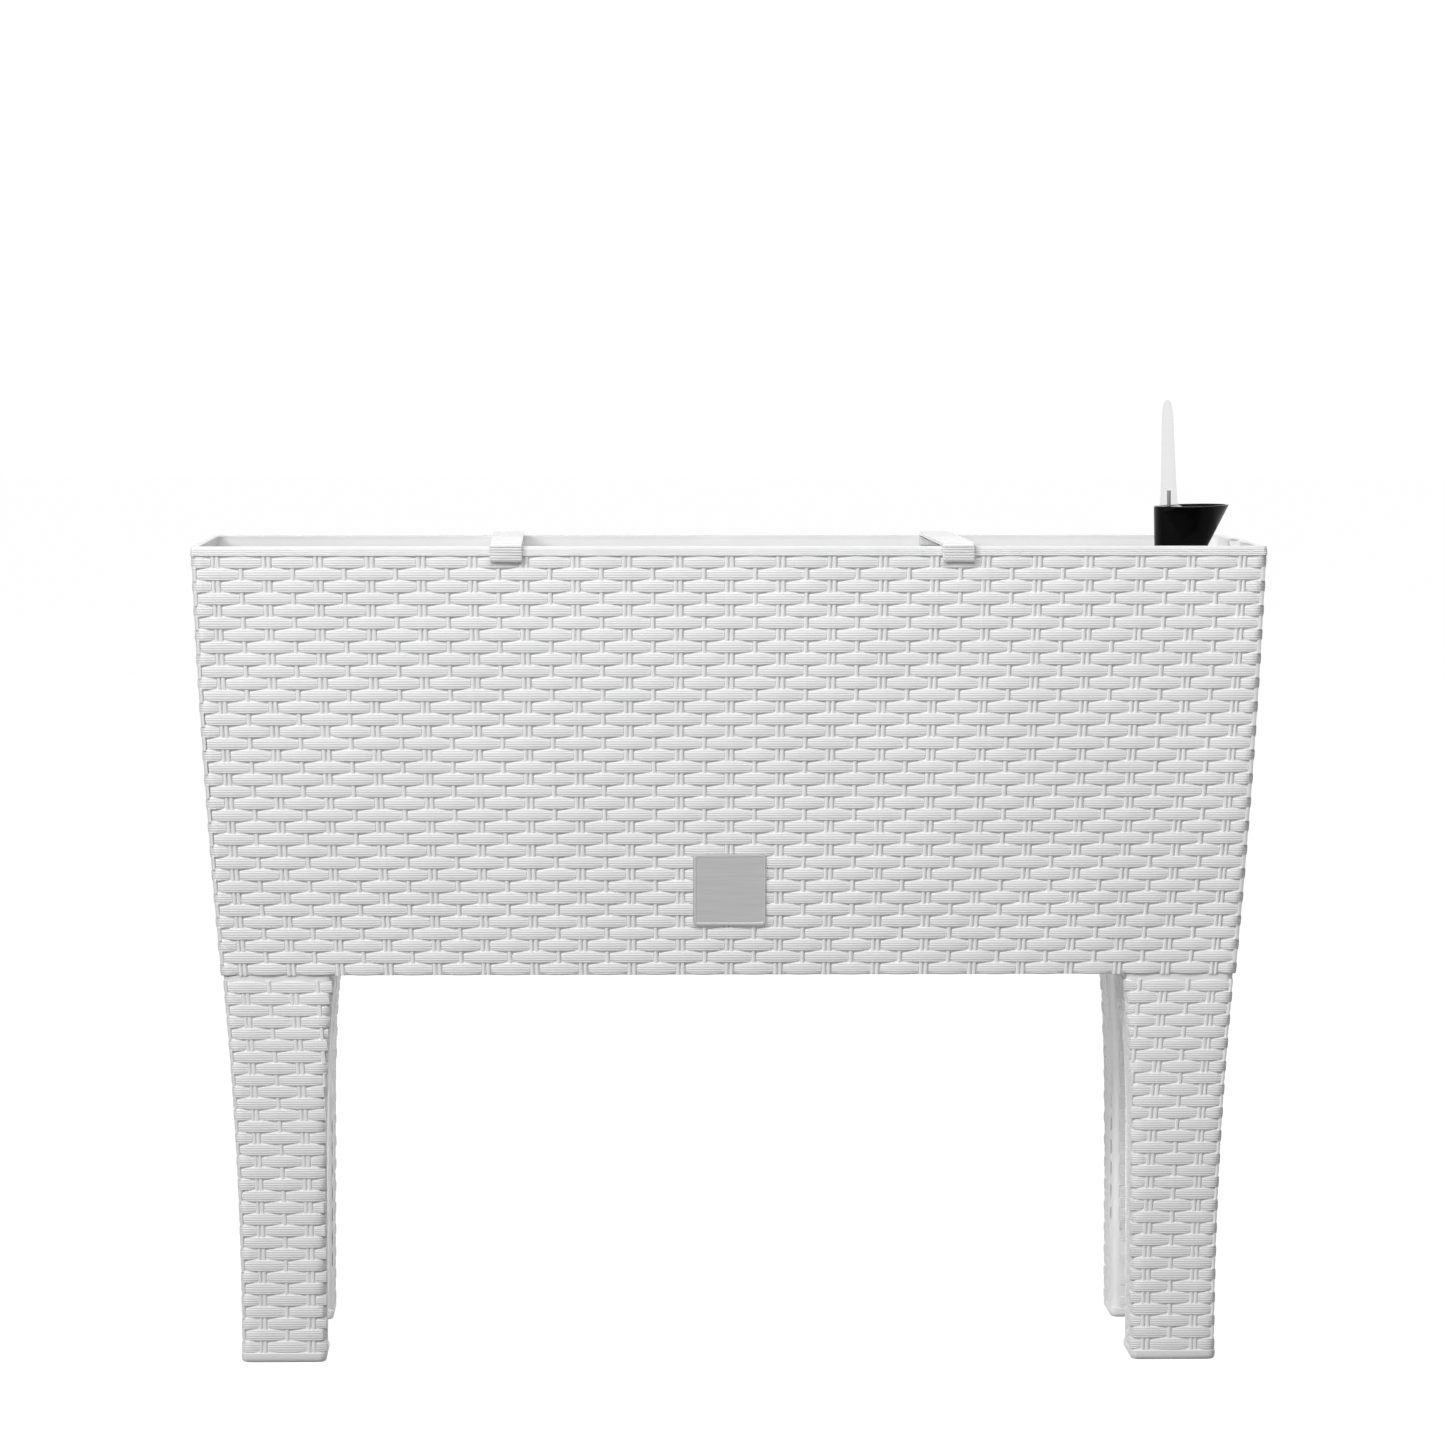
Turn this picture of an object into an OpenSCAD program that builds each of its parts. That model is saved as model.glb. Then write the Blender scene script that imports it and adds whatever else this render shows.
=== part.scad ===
// Self-watering planter box on four legs, with a woven-look moulded shell.
// X runs along the length, the front faces -Y, and Z is 0 on the floor.

/* [Box] */
// Length over the rim
rim_length = 600; // [560:5:700]
// Depth over the rim, front to back
rim_depth = 250; // [230:5:300]
// Height of the box from its underside to the top of the rim
box_height = 240; // [210:5:300]
// How far each end wall leans in from rim to base
end_taper = 15.5; // [6:0.5:18]
// How far each long wall leans in from rim to base
side_taper = 10; // [5:0.5:14]
// Thickness of the walls
wall = 3; // [2:0.25:4]
// Thickness of the box floor
floor_thick = 3; // [2:0.25:5]

/* [Rim] */
// Height of the plain band round the rim
rim_height = 6.3; // [4:0.1:10]
// Width of the rim's top face
rim_width = 7; // [5.5:0.5:9]
// Radius of the rim's outer corners
rim_corner = 2.5; // [1:0.5:5]
// Radius of the rim's inner corners
rim_inner_corner = 10; // [4:1:16]
// How far the lug on the right end wall stands into the box
lug_reach = 4; // [2:0.5:6]
// Length of the lug along the end wall
lug_length = 12; // [6:1:20]
// Height of the lug
lug_height = 8; // [5:0.5:12]
// Drop of the lug below the rim's top face
lug_drop = 0.5; // [0:0.5:3]

/* [Weave] */
// Height of the woven strands that stand on the walls
weave_relief = 2; // [1:0.1:2.5]
// Rows of strands from the rim down to the base
weave_rows = 35; // [20:1:40]
// Strands along a long wall
long_strands = 20; // [14:1:24]
// Strands along an end wall
end_strands = 8; // [5:1:10]
// Gap between two rows of strands
row_gap = 0.7; // [0.4:0.1:1.5]
// Depth of the dip where a strand passes an upright post
post_dip = 1.2; // [0.4:0.1:1.8]
// Distance from the middle of a dip to the flat of a strand
dip_reach = 4.5; // [2:0.5:7]

/* [Badge] */
// Side of the square badge plate
badge_side = 40.5; // [25:0.5:60]
// Thickness of the badge plate
badge_thick = 3; // [2.2:0.1:5]
// Corner radius of the badge plate
badge_corner = 2; // [0.5:0.5:5]
// Height of the badge's centre above the underside of the box
badge_height = 48; // [36:1:110]

/* [Legs] */
// Height of the legs
leg_height = 218; // [150:2:300]
// Width of a leg along X at its top, over the strands
leg_width = 63; // [54:1:75]
// Width of a leg along X at its foot, over the strands
foot_width = 48; // [40:1:56]
// Depth of a leg along Y at its top, over the strands
leg_depth = 58; // [48:1:66]
// Depth of a leg along Y at its foot, over the strands
foot_depth = 52; // [40:1:60]
// Share of a leg's height over which its inner faces flare out to the top
leg_flare = 0.42; // [0.2:0.02:0.9]
// How far the outer end face sweeps in from top to foot
leg_sweep_x = 10.2; // [4:0.2:16]
// How far the outer long face sweeps in from top to foot
leg_sweep_y = 3; // [1:0.5:8]
// Step from the edge of the base to the strands of a leg
leg_inset = 0.6; // [0:0.2:3]
// Thickness of the leg's walls
leg_wall = 3; // [2:0.25:4]
// Thickness of the leg's top plate
leg_top = 4; // [3:0.5:8]
// Height of the plain band round the foot
foot_band = 5.5; // [3:0.5:12]
// Chamfer round the foot
foot_chamfer = 1.5; // [0.5:0.5:4]

/* [Leg screws] */
// Radius of a screw's shank
screw_r = 2; // [1.5:0.25:3]
// Length of a screw below its head
screw_length = 26; // [18:1:40]
// Radius of a screw's head
screw_head_r = 4; // [3.5:0.25:6]
// Height of a screw's head
screw_head = 2.6; // [1.5:0.1:4]
// Distance between the two screws of a leg
screw_pitch = 28; // [20:1:36]
// Radius of the sealing washer under a head
washer_r = 6; // [5:0.25:8]
// Thickness of the sealing washer
washer_thick = 1; // [0.5:0.1:2]
// Wall of the boss that a screw bites into
boss_wall = 3; // [2:0.25:4]

/* [Water separator] */
// Depth of the water reservoir under the separator plate
reservoir_depth = 39; // [28:1:60]
// Thickness of the separator plate
plate_thick = 2.5; // [2:0.25:4]
// Gap between the plate's edge and the box walls
plate_gap = 0.6; // [0.4:0.1:1.5]
// Radius of the posts that carry the plate
post_r = 7; // [5:0.5:10]
// Spacing of the posts along the length
post_pitch_x = 130; // [110:2:140]
// Spacing of the posts across the depth
post_pitch_y = 140; // [120:2:150]
// Length of a drain slot in the plate
slot_length = 16; // [8:1:20]
// Width of a drain slot in the plate
slot_width = 3; // [2:0.25:5]
// Spacing of the drain slots across the depth
slot_pitch = 14; // [10:1:18]
// Radius of a felt wick
wick_r = 12; // [8:0.5:15]
// Spacing of the wicks along the length
wick_pitch_x = 260; // [230:2:270]
// Spacing of the wicks across the depth
wick_pitch_y = 90; // [70:2:96]
// Width of the wick's collar on the plate
wick_collar = 4; // [2:0.5:6]
// Height of the wick's collar above the plate
wick_head = 5; // [3:0.5:10]

/* [Watering unit] */
// Radius of the filler tube
tube_r = 13; // [12:0.25:15]
// Wall of the filler tube, the funnel and the strainer
tube_wall = 1.5; // [1:0.1:2]
// Height of the strainer at the foot of the tube
strainer_height = 21; // [14:1:26]
// Number of water slots round the strainer
strainer_slots = 6; // [3:1:8]
// Height of the funnel's rim above the box rim
funnel_rise = 20; // [10:0.2:40]
// Height of the funnel's flared part
funnel_flare = 32; // [25:1:50]
// Length of the funnel's mouth along X
mouth_length = 43.3; // [41:0.1:44.4]
// Radius of the funnel's spout end
spout_r = 20; // [19:0.5:22]
// Radius of the spout's cone at the funnel's neck
spout_foot_r = 2.9; // [2.4:0.1:3]
// Gap from the spout to the box rim
spout_gap = 2.7; // [2.5:0.1:12]
// Length of the spigot that joins the funnel to the tube
spigot_length = 12; // [6:1:20]

/* [Level indicator] */
// Offset of the indicator from the tube's axis
stem_offset = 4.3; // [3:0.1:5]
// Radius of the indicator's stem
stem_r = 1.1; // [0.8:0.1:1.4]
// Height of the stem above the funnel with the reservoir empty
stem_show = 8.6; // [4:0.2:12]
// Travel of the float from empty to full
float_travel = 40; // [25:1:50]
// Length of the float
float_length = 35; // [20:1:50]
// Radius of the clear capsule at its foot
capsule_r = 4.8; // [4.2:0.1:5.2]
// Wall of the clear capsule
capsule_wall = 1.2; // [0.8:0.1:1.4]
// Room above the stem at full, inside the capsule's tip
capsule_tip = 10; // [7:0.5:16]

/* [Cross braces] */
// Distance between the two braces
brace_pitch = 252; // [150:2:300]
// How far the braces sit towards the funnel's end
brace_shift = 1.5; // [0:0.5:6]
// Width of a brace
brace_width = 18; // [12:0.5:26]
// Thickness of a brace
brace_thick = 2.2; // [1.6:0.1:3.5]
// How far the grooved tabs hang below the rim's top face
tab_drop = 8.6; // [7:0.2:14]
// How far the inner hooks hang below the rim's top face
hook_drop = 5.5; // [3:0.5:8]

/* [Drain] */
// Radius of the drain hole in the floor
drain_r = 9; // [6:0.5:12]
// Distance of the drain from the left end of the base
drain_inset = 70; // [56:1:82]
// Thickness of the drain plug's head
plug_head = 3; // [2:0.5:5]
// How far the plug's shank stands above the floor
plug_stand = 3; // [1:0.5:6]
// Width of the plug's head outside the hole
plug_flange = 5; // [3:0.5:8]
// Thickness of the drain gasket
gasket_thick = 1.5; // [1:0.25:2.5]

/* [Fits] */
// Radial clearance of a fixed round fit
fit_clear = 0.1; // [0.05:0.01:0.2]
// Gap between parts that slide past each other
slide_clear = 0.4; // [0.3:0.05:0.6]

/* [Hidden] */
$fn = 48;
// Steps in the curve of a leg's outer faces
leg_steps = 8;
// Steps in the flare of a leg's inner faces
flare_steps = 5;
// Cutters reach this far past the faces that they open
over = 1;

base_length = rim_length - 2 * end_taper;
base_depth = rim_depth - 2 * side_taper;
box_z = leg_height;
floor_z = box_z + floor_thick;
rim_top = box_z + box_height;
rim_z = rim_top - rim_height;
plate_z = floor_z + reservoir_depth;
plate_top = plate_z + plate_thick;

row_pitch = (rim_z - box_z) / weave_rows;
// Distance from a corner to its first upright post, in strands
first_post = 0.4;

leg_top_x = base_length / 2 - leg_inset;
leg_top_y = base_depth / 2 - leg_inset;
leg_mid_x = leg_top_x - leg_width / 2;
leg_mid_y = leg_top_y - leg_depth / 2;
boss_length = screw_length - floor_thick - washer_thick - leg_top + over;

tube_x = rim_length / 2 - rim_width - spout_gap - mouth_length + tube_r;
tube_bore = tube_r - tube_wall;
tube_z = floor_z + strainer_height;
funnel_top = rim_top + funnel_rise;
neck_z = funnel_top - funnel_flare;
deck_thick = 2 * tube_wall;
stem_x = tube_x - stem_offset;
// Thickness of the disc under the float
stem_foot = 1.5;
stem_guide = stem_r + slide_clear;
float_r = tube_bore - stem_offset - slide_clear;
float_z = floor_z + tube_wall;
capsule_bore = capsule_r - capsule_wall;
capsule_height = stem_show + float_travel + capsule_tip;
// Radius of the capsule where its tip starts, as a share of its foot
capsule_shoulder = 0.72;
// Height of the capsule's straight part, as a share of the whole
capsule_straight = 0.78;
// Angle between the points of the capsule's round tip
tip_step = 15;

brace_inner = rim_width + slide_clear;
drain_x = -base_length / 2 + drain_inset;

// Half length of the wall face under the strands, at height z
function half_x(z) = rim_length / 2 - end_taper * (rim_top - z) / box_height - weave_relief;

// Half depth of the wall face under the strands, at height z
function half_y(z) = rim_depth / 2 - side_taper * (rim_top - z) / box_height - weave_relief;

// Points along a wall's woven face in one row, dipping at each post; every other row is shifted half a strand
function woven_face(half, crest, strands, shift) = [for (i = [0 : strands - shift], d = [-1, 0, 1])
    [half * (2 * (first_post + i + shift / 2) / (strands + 2 * first_post) - 1) + d * dip_reach,
        d == 0 ? crest - post_dip : crest]];

// Outer face of a leg, a fraction t down from its top, swept in along a parabola
function swept(top, sweep, t) = top - sweep * (1 - pow(1 - t, 2));

// Inner face of a leg, a fraction t down from its top, flared out to the top along a parabola
function flared(top, foot, t) = foot + (top - foot) * pow(max(0, 1 - t / leg_flare), 2);

module rounded_rect(length, depth, r) {
    square([length - 2 * r, depth], center = true);
    square([length, depth - 2 * r], center = true);
    for (x = [-1, 1], y = [-1, 1])
        translate([x * (length / 2 - r), y * (depth / 2 - r)]) circle(r);
}

// Block with the lean of the box walls, between two heights
module leaning_block(z0, z1, inset) {
    intersection() {
        rotate([90, 0, 0]) linear_extrude(height = 2 * rim_depth, center = true)
            polygon([[-half_x(z0) + inset, z0], [half_x(z0) - inset, z0],
                [half_x(z1) - inset, z1], [-half_x(z1) + inset, z1]]);
        rotate([90, 0, 90]) linear_extrude(height = 2 * rim_length, center = true)
            polygon([[-half_y(z0) + inset, z0], [half_y(z0) - inset, z0],
                [half_y(z1) - inset, z1], [-half_y(z1) + inset, z1]]);
    }
}

// Places its children at the two screws of each leg
module at_screws() {
    for (x = [-1, 1], y = [-1, 1], s = [-1, 1])
        translate([x * leg_mid_x + s * screw_pitch / 2, y * leg_mid_y, 0]) children();
}

module end_lug() {
    translate([rim_length / 2 - rim_width - lug_reach, -lug_length / 2, rim_top - lug_drop - lug_height])
        cube([lug_reach + wall, lug_length, lug_height]);
}

// Walls of the planter, with the rim and the lug at the funnel's end
module outer_box() color("white") {
    difference() {
        union() {
            leaning_block(box_z, rim_z, 0);
            translate([0, 0, rim_z]) linear_extrude(height = rim_height)
                rounded_rect(rim_length, rim_depth, rim_corner);
        }
        leaning_block(box_z - over, rim_z, wall);
        translate([0, 0, rim_z - wall]) linear_extrude(height = rim_height + wall + over)
            rounded_rect(rim_length - 2 * rim_width, rim_depth - 2 * rim_width, rim_inner_corner);
    }
    end_lug();
}

// Floor between the walls, with the drain hole and the screw holes
module box_floor() color("white") {
    difference() {
        leaning_block(box_z, floor_z, wall);
        translate([drain_x, 0, box_z - over]) cylinder(h = floor_thick + 2 * over, r = drain_r);
        at_screws() translate([0, 0, box_z - over])
            cylinder(h = floor_thick + 2 * over, r = screw_r + slide_clear);
    }
}

// Outline of the weave in one row, round all four walls
module woven_row(z, shift) {
    crest_x = half_x(z) + weave_relief;
    crest_y = half_y(z) + weave_relief;
    long_face = woven_face(crest_x, crest_y, long_strands, shift);
    end_face = woven_face(crest_y, crest_x, end_strands, shift);
    polygon(concat([[-crest_x, -crest_y]], [for (p = long_face) [p.x, -p.y]],
        [[crest_x, -crest_y]], [for (p = end_face) [p.y, p.x]],
        [[crest_x, crest_y]], [for (p = long_face) [-p.x, p.y]],
        [[-crest_x, crest_y]], [for (p = end_face) [-p.y, -p.x]]));
}

// Rows of moulded strands on the outside of the walls, cut out round the badge
module woven_skin() color("white") {
    difference() {
        for (row = [0 : weave_rows - 1]) let (z = box_z + row * row_pitch)
            translate([0, 0, z + row_gap / 2]) linear_extrude(height = row_pitch - row_gap)
                woven_row(z + row_pitch / 2, row % 2);
        leaning_block(box_z - over, rim_z + over, 0);
        badge_block(slide_clear);
    }
}

// Square plate with rounded corners on the front wall, leaning with it
module badge_block(grow) {
    side = badge_side + 2 * grow;
    translate([0, -half_y(box_z + badge_height), box_z + badge_height])
        rotate([90 + atan(side_taper / box_height), 0, 0])
            linear_extrude(height = badge_thick) rounded_rect(side, side, badge_corner);
}

module badge_plate() color("silver") { badge_block(0); }

// Side view of a leg between two heights, set in from the faces of its strands
module leg_outline(top, sweep, width_top, width_foot, inset, z0, z1, chamfer) {
    t1 = 1 - z0 / leg_height;
    t0 = 1 - z1 / leg_height;
    outer_foot = swept(top, sweep, 1) - inset;
    inner_top = top - width_top + inset;
    inner_foot = swept(top, sweep, 1) - width_foot + inset;
    outer = [for (i = [0 : leg_steps]) let (t = t0 + (t1 - t0) * i / leg_steps)
        [swept(top, sweep, t) - inset, leg_height * (1 - t)]];
    flare = [for (i = [flare_steps : -1 : 0]) let (t = leg_flare * i / flare_steps) if (t > t0 && t < t1) t];
    inner = [for (t = concat([t1], flare, [t0])) [flared(inner_top, inner_foot, t), leg_height * (1 - t)]];
    difference() {
        polygon(concat(outer, inner));
        if (chamfer > 0)
            for (x = [outer_foot, inner_foot]) translate([x, z0]) circle(chamfer, $fn = 4);
    }
}

module leg_block(inset, z0, z1, chamfer) {
    intersection() {
        rotate([90, 0, 0]) linear_extrude(height = 2 * rim_depth, center = true)
            leg_outline(leg_top_x, leg_sweep_x, leg_width, foot_width, inset, z0, z1, chamfer);
        rotate([90, 0, 90]) linear_extrude(height = 2 * rim_length, center = true)
            leg_outline(leg_top_y, leg_sweep_y, leg_depth, foot_depth, inset, z0, z1, chamfer);
    }
}

// Places its children at the feet of the two screw bosses of the rear right leg
module at_leg_bosses() {
    for (s = [-1, 1])
        translate([leg_mid_x + s * screw_pitch / 2, leg_mid_y, leg_height - leg_top - boss_length])
            children();
}

// Hollow swept leg of the rear right corner, open at the foot
module leg() color("whitesmoke") {
    difference() {
        union() {
            difference() {
                union() {
                    leg_block(weave_relief, foot_band / 2, leg_height, 0);
                    leg_block(0, 0, foot_band, foot_chamfer);
                }
                leg_block(weave_relief + leg_wall, -over, leg_height - leg_top, 0);
            }
            at_leg_bosses() cylinder(h = boss_length + leg_top / 2, r = screw_r + fit_clear + boss_wall);
        }
        at_leg_bosses() translate([0, 0, -over])
            cylinder(h = boss_length + leg_top + 2 * over, r = screw_r + fit_clear);
    }
}

module leg_front_left() { mirror([1, 0, 0]) mirror([0, 1, 0]) leg(); }

module leg_front_right() { mirror([0, 1, 0]) leg(); }

module leg_rear_left() { mirror([1, 0, 0]) leg(); }

module leg_rear_right() { leg(); }

// Pan-head screws, driven down from inside the box
module leg_screws() color("silver") {
    at_screws() translate([0, 0, floor_z + washer_thick]) {
        cylinder(h = screw_head, r = screw_head_r);
        translate([0, 0, -screw_length]) cylinder(h = screw_length + screw_head / 2, r = screw_r);
    }
}

// Rubber washers that seal the screw holes
module screw_washers() color("dimgray") {
    at_screws() translate([0, 0, floor_z]) difference() {
        cylinder(h = washer_thick, r = washer_r);
        translate([0, 0, -over]) cylinder(h = washer_thick + 2 * over, r = screw_r + fit_clear);
    }
}

// Perforated plate on posts, between the soil and the water
module separator_plate() color("black") {
    slot_rows = floor((post_pitch_y / 2 - post_r - slot_width) / slot_pitch);
    slot_columns = [-1.5, -0.5, 0.5, 1.5];
    difference() {
        leaning_block(plate_z, plate_top, wall + plate_gap);
        for (x = [-1, 1], y = [-1, 1]) translate([x * wick_pitch_x / 2, y * wick_pitch_y / 2, plate_z - over])
            cylinder(h = plate_thick + 2 * over, r = wick_r + slide_clear);
        translate([tube_x, 0, plate_z - over]) cylinder(h = plate_thick + 2 * over, r = tube_r + slide_clear);
        for (c = slot_columns, i = [-slot_rows : slot_rows])
            translate([c * post_pitch_x, i * slot_pitch, plate_z])
                cube([slot_length, slot_width, 2 * plate_thick + over], center = true);
    }
    for (c = slot_columns, y = [-1, 1]) translate([c * post_pitch_x, y * post_pitch_y / 2, floor_z])
        cylinder(h = reservoir_depth + plate_thick / 2, r = post_r);
}

// Felt wick that stands in the water and feeds the soil
module wick(x, y) color("darkslategray") {
    translate([x * wick_pitch_x / 2, y * wick_pitch_y / 2, 0]) {
        translate([0, 0, floor_z]) cylinder(h = reservoir_depth + plate_thick + wick_head / 2, r = wick_r);
        translate([0, 0, plate_top]) cylinder(h = wick_head, r = wick_r + wick_collar);
    }
}

module wick_front_left() { wick(-1, -1); }

module wick_front_right() { wick(1, -1); }

module wick_rear_left() { wick(-1, 1); }

module wick_rear_right() { wick(1, 1); }

// Tube that carries water from the funnel to the reservoir and guides the float
module filler_tube() color("black") {
    translate([tube_x, 0, tube_z]) difference() {
        cylinder(h = neck_z - tube_z, r = tube_r);
        translate([0, 0, -over]) cylinder(h = neck_z - tube_z + 2 * over, r = tube_bore);
    }
}

// Slotted foot of the tube, on the floor of the reservoir
module tube_strainer() color("black") {
    translate([tube_x, 0, floor_z]) difference() {
        cylinder(h = strainer_height, r = tube_r);
        translate([0, 0, tube_wall]) cylinder(h = strainer_height, r = tube_bore);
        for (i = [0 : strainer_slots - 1]) rotate([0, 0, 180 / strainer_slots + i * 360 / strainer_slots])
            translate([tube_bore - tube_wall, -slot_width / 2, 2 * tube_wall])
                cube([3 * tube_wall, slot_width, strainer_height - 4 * tube_wall]);
    }
}

// Round neck and flared spout, between two heights
module funnel_form(inset, z0) {
    spout_x = tube_x - tube_r + mouth_length - spout_r;
    height = funnel_top - z0;
    translate([tube_x, 0, z0]) cylinder(h = height, r = tube_r - inset);
    translate([spout_x, 0, z0]) cylinder(h = height, r1 = spout_foot_r - inset, r2 = spout_r - inset);
}

// Black spouted funnel with the deck that carries the level indicator
module funnel() color("black") {
    deck_edge = stem_x + capsule_r + tube_wall;
    spigot_r = tube_bore - fit_clear;
    difference() {
        union() {
            funnel_form(0, neck_z);
            translate([tube_x, 0, neck_z - spigot_length])
                cylinder(h = spigot_length + tube_wall / 2, r = spigot_r);
        }
        difference() {
            funnel_form(tube_wall, neck_z + tube_wall);
            translate([deck_edge - 2 * spout_r, -spout_r, funnel_top - deck_thick])
                cube([2 * spout_r, 2 * spout_r, deck_thick + over]);
        }
        translate([stem_x, 0, funnel_top - deck_thick - over])
            cylinder(h = deck_thick + 2 * over, r = capsule_bore + fit_clear);
        translate([tube_x, 0, neck_z - spigot_length - over])
            cylinder(h = spigot_length + tube_wall + 2 * over, r = spigot_r - tube_wall);
    }
}

// Half section of the capsule: a slim cone with a rounded tip, from a foot radius and a height
module capsule_section(r, height) {
    tip_r = r * capsule_shoulder;
    tip_z = height * capsule_straight;
    tip = [for (a = [0 : tip_step : 90]) [tip_r * cos(a), tip_z + (height - tip_z) * sin(a)]];
    polygon(concat([[0, 0], [r, 0]], tip));
}

// Clear pointed capsule, plugged into the funnel's deck
module indicator_capsule() color("gainsboro") {
    translate([stem_x, 0, funnel_top]) difference() {
        union() {
            rotate_extrude() capsule_section(capsule_r, capsule_height);
            translate([0, 0, -deck_thick]) cylinder(h = deck_thick + capsule_wall, r = capsule_bore);
        }
        rotate_extrude() translate([0, capsule_wall])
            capsule_section(capsule_bore - capsule_wall / 2, capsule_height - 3 * capsule_wall);
        translate([0, 0, -deck_thick - over]) cylinder(h = deck_thick + 3 * over, r = stem_guide);
    }
}

// Thin rod whose top shows the water level inside the capsule
module float_stem() color("gray") {
    translate([stem_x, 0, float_z]) {
        cylinder(h = stem_foot, r = float_r / 2);
        cylinder(h = funnel_top + stem_show - float_z, r = stem_r);
    }
}

// Foam float that lifts the stem
module float_body() color("white") {
    translate([stem_x, 0, float_z + stem_foot]) difference() {
        cylinder(h = float_length, r = float_r);
        translate([0, 0, -over]) cylinder(h = float_length + 2 * over, r = stem_r + fit_clear);
    }
}

// Strap across the box with grooved tabs outside the rim and hooks inside it
module brace(side) color("white") {
    tab_y = rim_depth / 2 + slide_clear;
    translate([brace_shift + side * brace_pitch / 2 - brace_width / 2, 0, 0]) {
        translate([0, -tab_y - brace_thick, rim_top])
            cube([brace_width, 2 * (tab_y + brace_thick), brace_thick]);
        for (m = [0, 1]) mirror([0, m, 0]) {
            translate([0, tab_y, rim_top - tab_drop])
                cube([brace_width, brace_thick, tab_drop + brace_thick / 2]);
            translate([0, rim_depth / 2 - brace_inner - brace_thick, rim_top - hook_drop])
                cube([brace_width, brace_thick, hook_drop + brace_thick / 2]);
        }
    }
}

module brace_left() { brace(-1); }

module brace_right() { brace(1); }

// Plug that empties the reservoir from below
module drain_plug() color("dimgray") {
    head_z = box_z - gasket_thick - plug_head;
    translate([drain_x, 0, head_z]) {
        cylinder(h = plug_head, r = drain_r + plug_flange);
        cylinder(h = plug_head + gasket_thick + floor_thick + plug_stand, r = drain_r - slide_clear);
    }
}

// Rubber ring between the plug's head and the box
module drain_gasket() color("black") {
    translate([drain_x, 0, box_z - gasket_thick]) difference() {
        cylinder(h = gasket_thick, r = drain_r + plug_flange - fit_clear);
        translate([0, 0, -over]) cylinder(h = gasket_thick + 2 * over, r = drain_r);
    }
}

outer_box();
box_floor();
woven_skin();
badge_plate();
leg_front_left();
leg_front_right();
leg_rear_left();
leg_rear_right();
leg_screws();
screw_washers();
separator_plate();
wick_front_left();
wick_front_right();
wick_rear_left();
wick_rear_right();
filler_tube();
tube_strainer();
funnel();
indicator_capsule();
float_stem();
float_body();
brace_left();
brace_right();
drain_plug();
drain_gasket();
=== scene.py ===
import math

import bmesh
import bpy
import numpy as np
from mathutils import Matrix, Vector


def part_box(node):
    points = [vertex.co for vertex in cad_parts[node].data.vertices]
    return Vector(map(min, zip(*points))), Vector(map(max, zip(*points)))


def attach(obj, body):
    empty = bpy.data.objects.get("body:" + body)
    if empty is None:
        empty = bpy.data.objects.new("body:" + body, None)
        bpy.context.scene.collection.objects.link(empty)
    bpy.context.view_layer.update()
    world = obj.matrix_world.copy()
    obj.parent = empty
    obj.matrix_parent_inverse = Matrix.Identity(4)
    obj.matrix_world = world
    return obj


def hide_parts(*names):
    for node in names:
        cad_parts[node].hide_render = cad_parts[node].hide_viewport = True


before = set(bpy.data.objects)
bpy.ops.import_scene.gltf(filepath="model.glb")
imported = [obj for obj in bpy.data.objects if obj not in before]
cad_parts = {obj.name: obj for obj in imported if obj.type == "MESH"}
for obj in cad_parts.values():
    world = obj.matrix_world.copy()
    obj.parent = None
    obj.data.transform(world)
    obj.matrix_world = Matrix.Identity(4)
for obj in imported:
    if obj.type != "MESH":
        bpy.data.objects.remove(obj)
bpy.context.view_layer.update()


# The camera stands well back in front of the planter, a little left of its middle and above its rim.
# It looks slightly down, so the far rim, the braces and the inside of the back wall just show.
scene = bpy.context.scene
scene.view_settings.view_transform = "Standard"
mm = 0.001
camera_place = Vector((-98.7, -3975, 561.6)) * mm
camera_aim = Vector((-4.1, -125, 359.9)) * mm
camera_lens = 172.5

camera_data = bpy.data.cameras.new("front_camera")
camera_data.lens = camera_lens
camera_data.sensor_width = 36
camera = bpy.data.objects.new("front_camera", camera_data)
camera.location = camera_place
camera.rotation_euler = (camera_aim - camera_place).to_track_quat("-Z", "Y").to_euler()
scene.collection.objects.link(camera)
scene.camera = camera


# The studio: a white paper floor that runs far back, a dim room that is lighter on the left and behind,
# a strip box above the front, soft boxes on the left and behind, a low fill on the right, a card inside
# the box and a kicker that opens the shade under it. The paper reads white and keeps a soft shadow.
floor_reach = 30
paper_colour = "#7E7E7E"
paper_shade = "#898989"
paper_glow = 0.945
white = "#FFFFFF"
room_left = 0.26
room_right = 0.06
room_behind = 0.4
behind_from = 0.3
behind_full = 0.9


def linear(colour):
    """The linear colour of an sRGB hex value."""
    parts = [int(colour[i:i + 2], 16) / 255 for i in (1, 3, 5)]
    return [p / 12.92 if p <= 0.04045 else ((p + 0.055) / 1.055) ** 2.4 for p in parts] + [1]


def add(tree, kind, inputs=(), stops=(), **settings):
    """One node with its settings; each input is a value, a socket to link from, or a list of those.

    The stops of a colour ramp are pairs of a place along it and a hex value.
    """
    node = tree.nodes.new(kind)
    for name, value in settings.items():
        setattr(node, name, value)
    for i, (along_ramp, colour) in enumerate(stops):
        node.color_ramp.elements[i].position = along_ramp
        node.color_ramp.elements[i].color = linear(colour)
    for socket, value in dict(inputs).items():
        sources = value if isinstance(value, list) else [value]
        if isinstance(sources[0], bpy.types.NodeSocket):
            for source in sources:
                tree.links.new(source, node.inputs[socket])
        else:
            node.inputs[socket].default_value = value
    return node


def blank_material(name):
    """A material, and its tree emptied of nodes."""
    material = bpy.data.materials.new(name)
    material.use_nodes = True
    material.node_tree.nodes.clear()
    return material, material.node_tree


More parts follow.
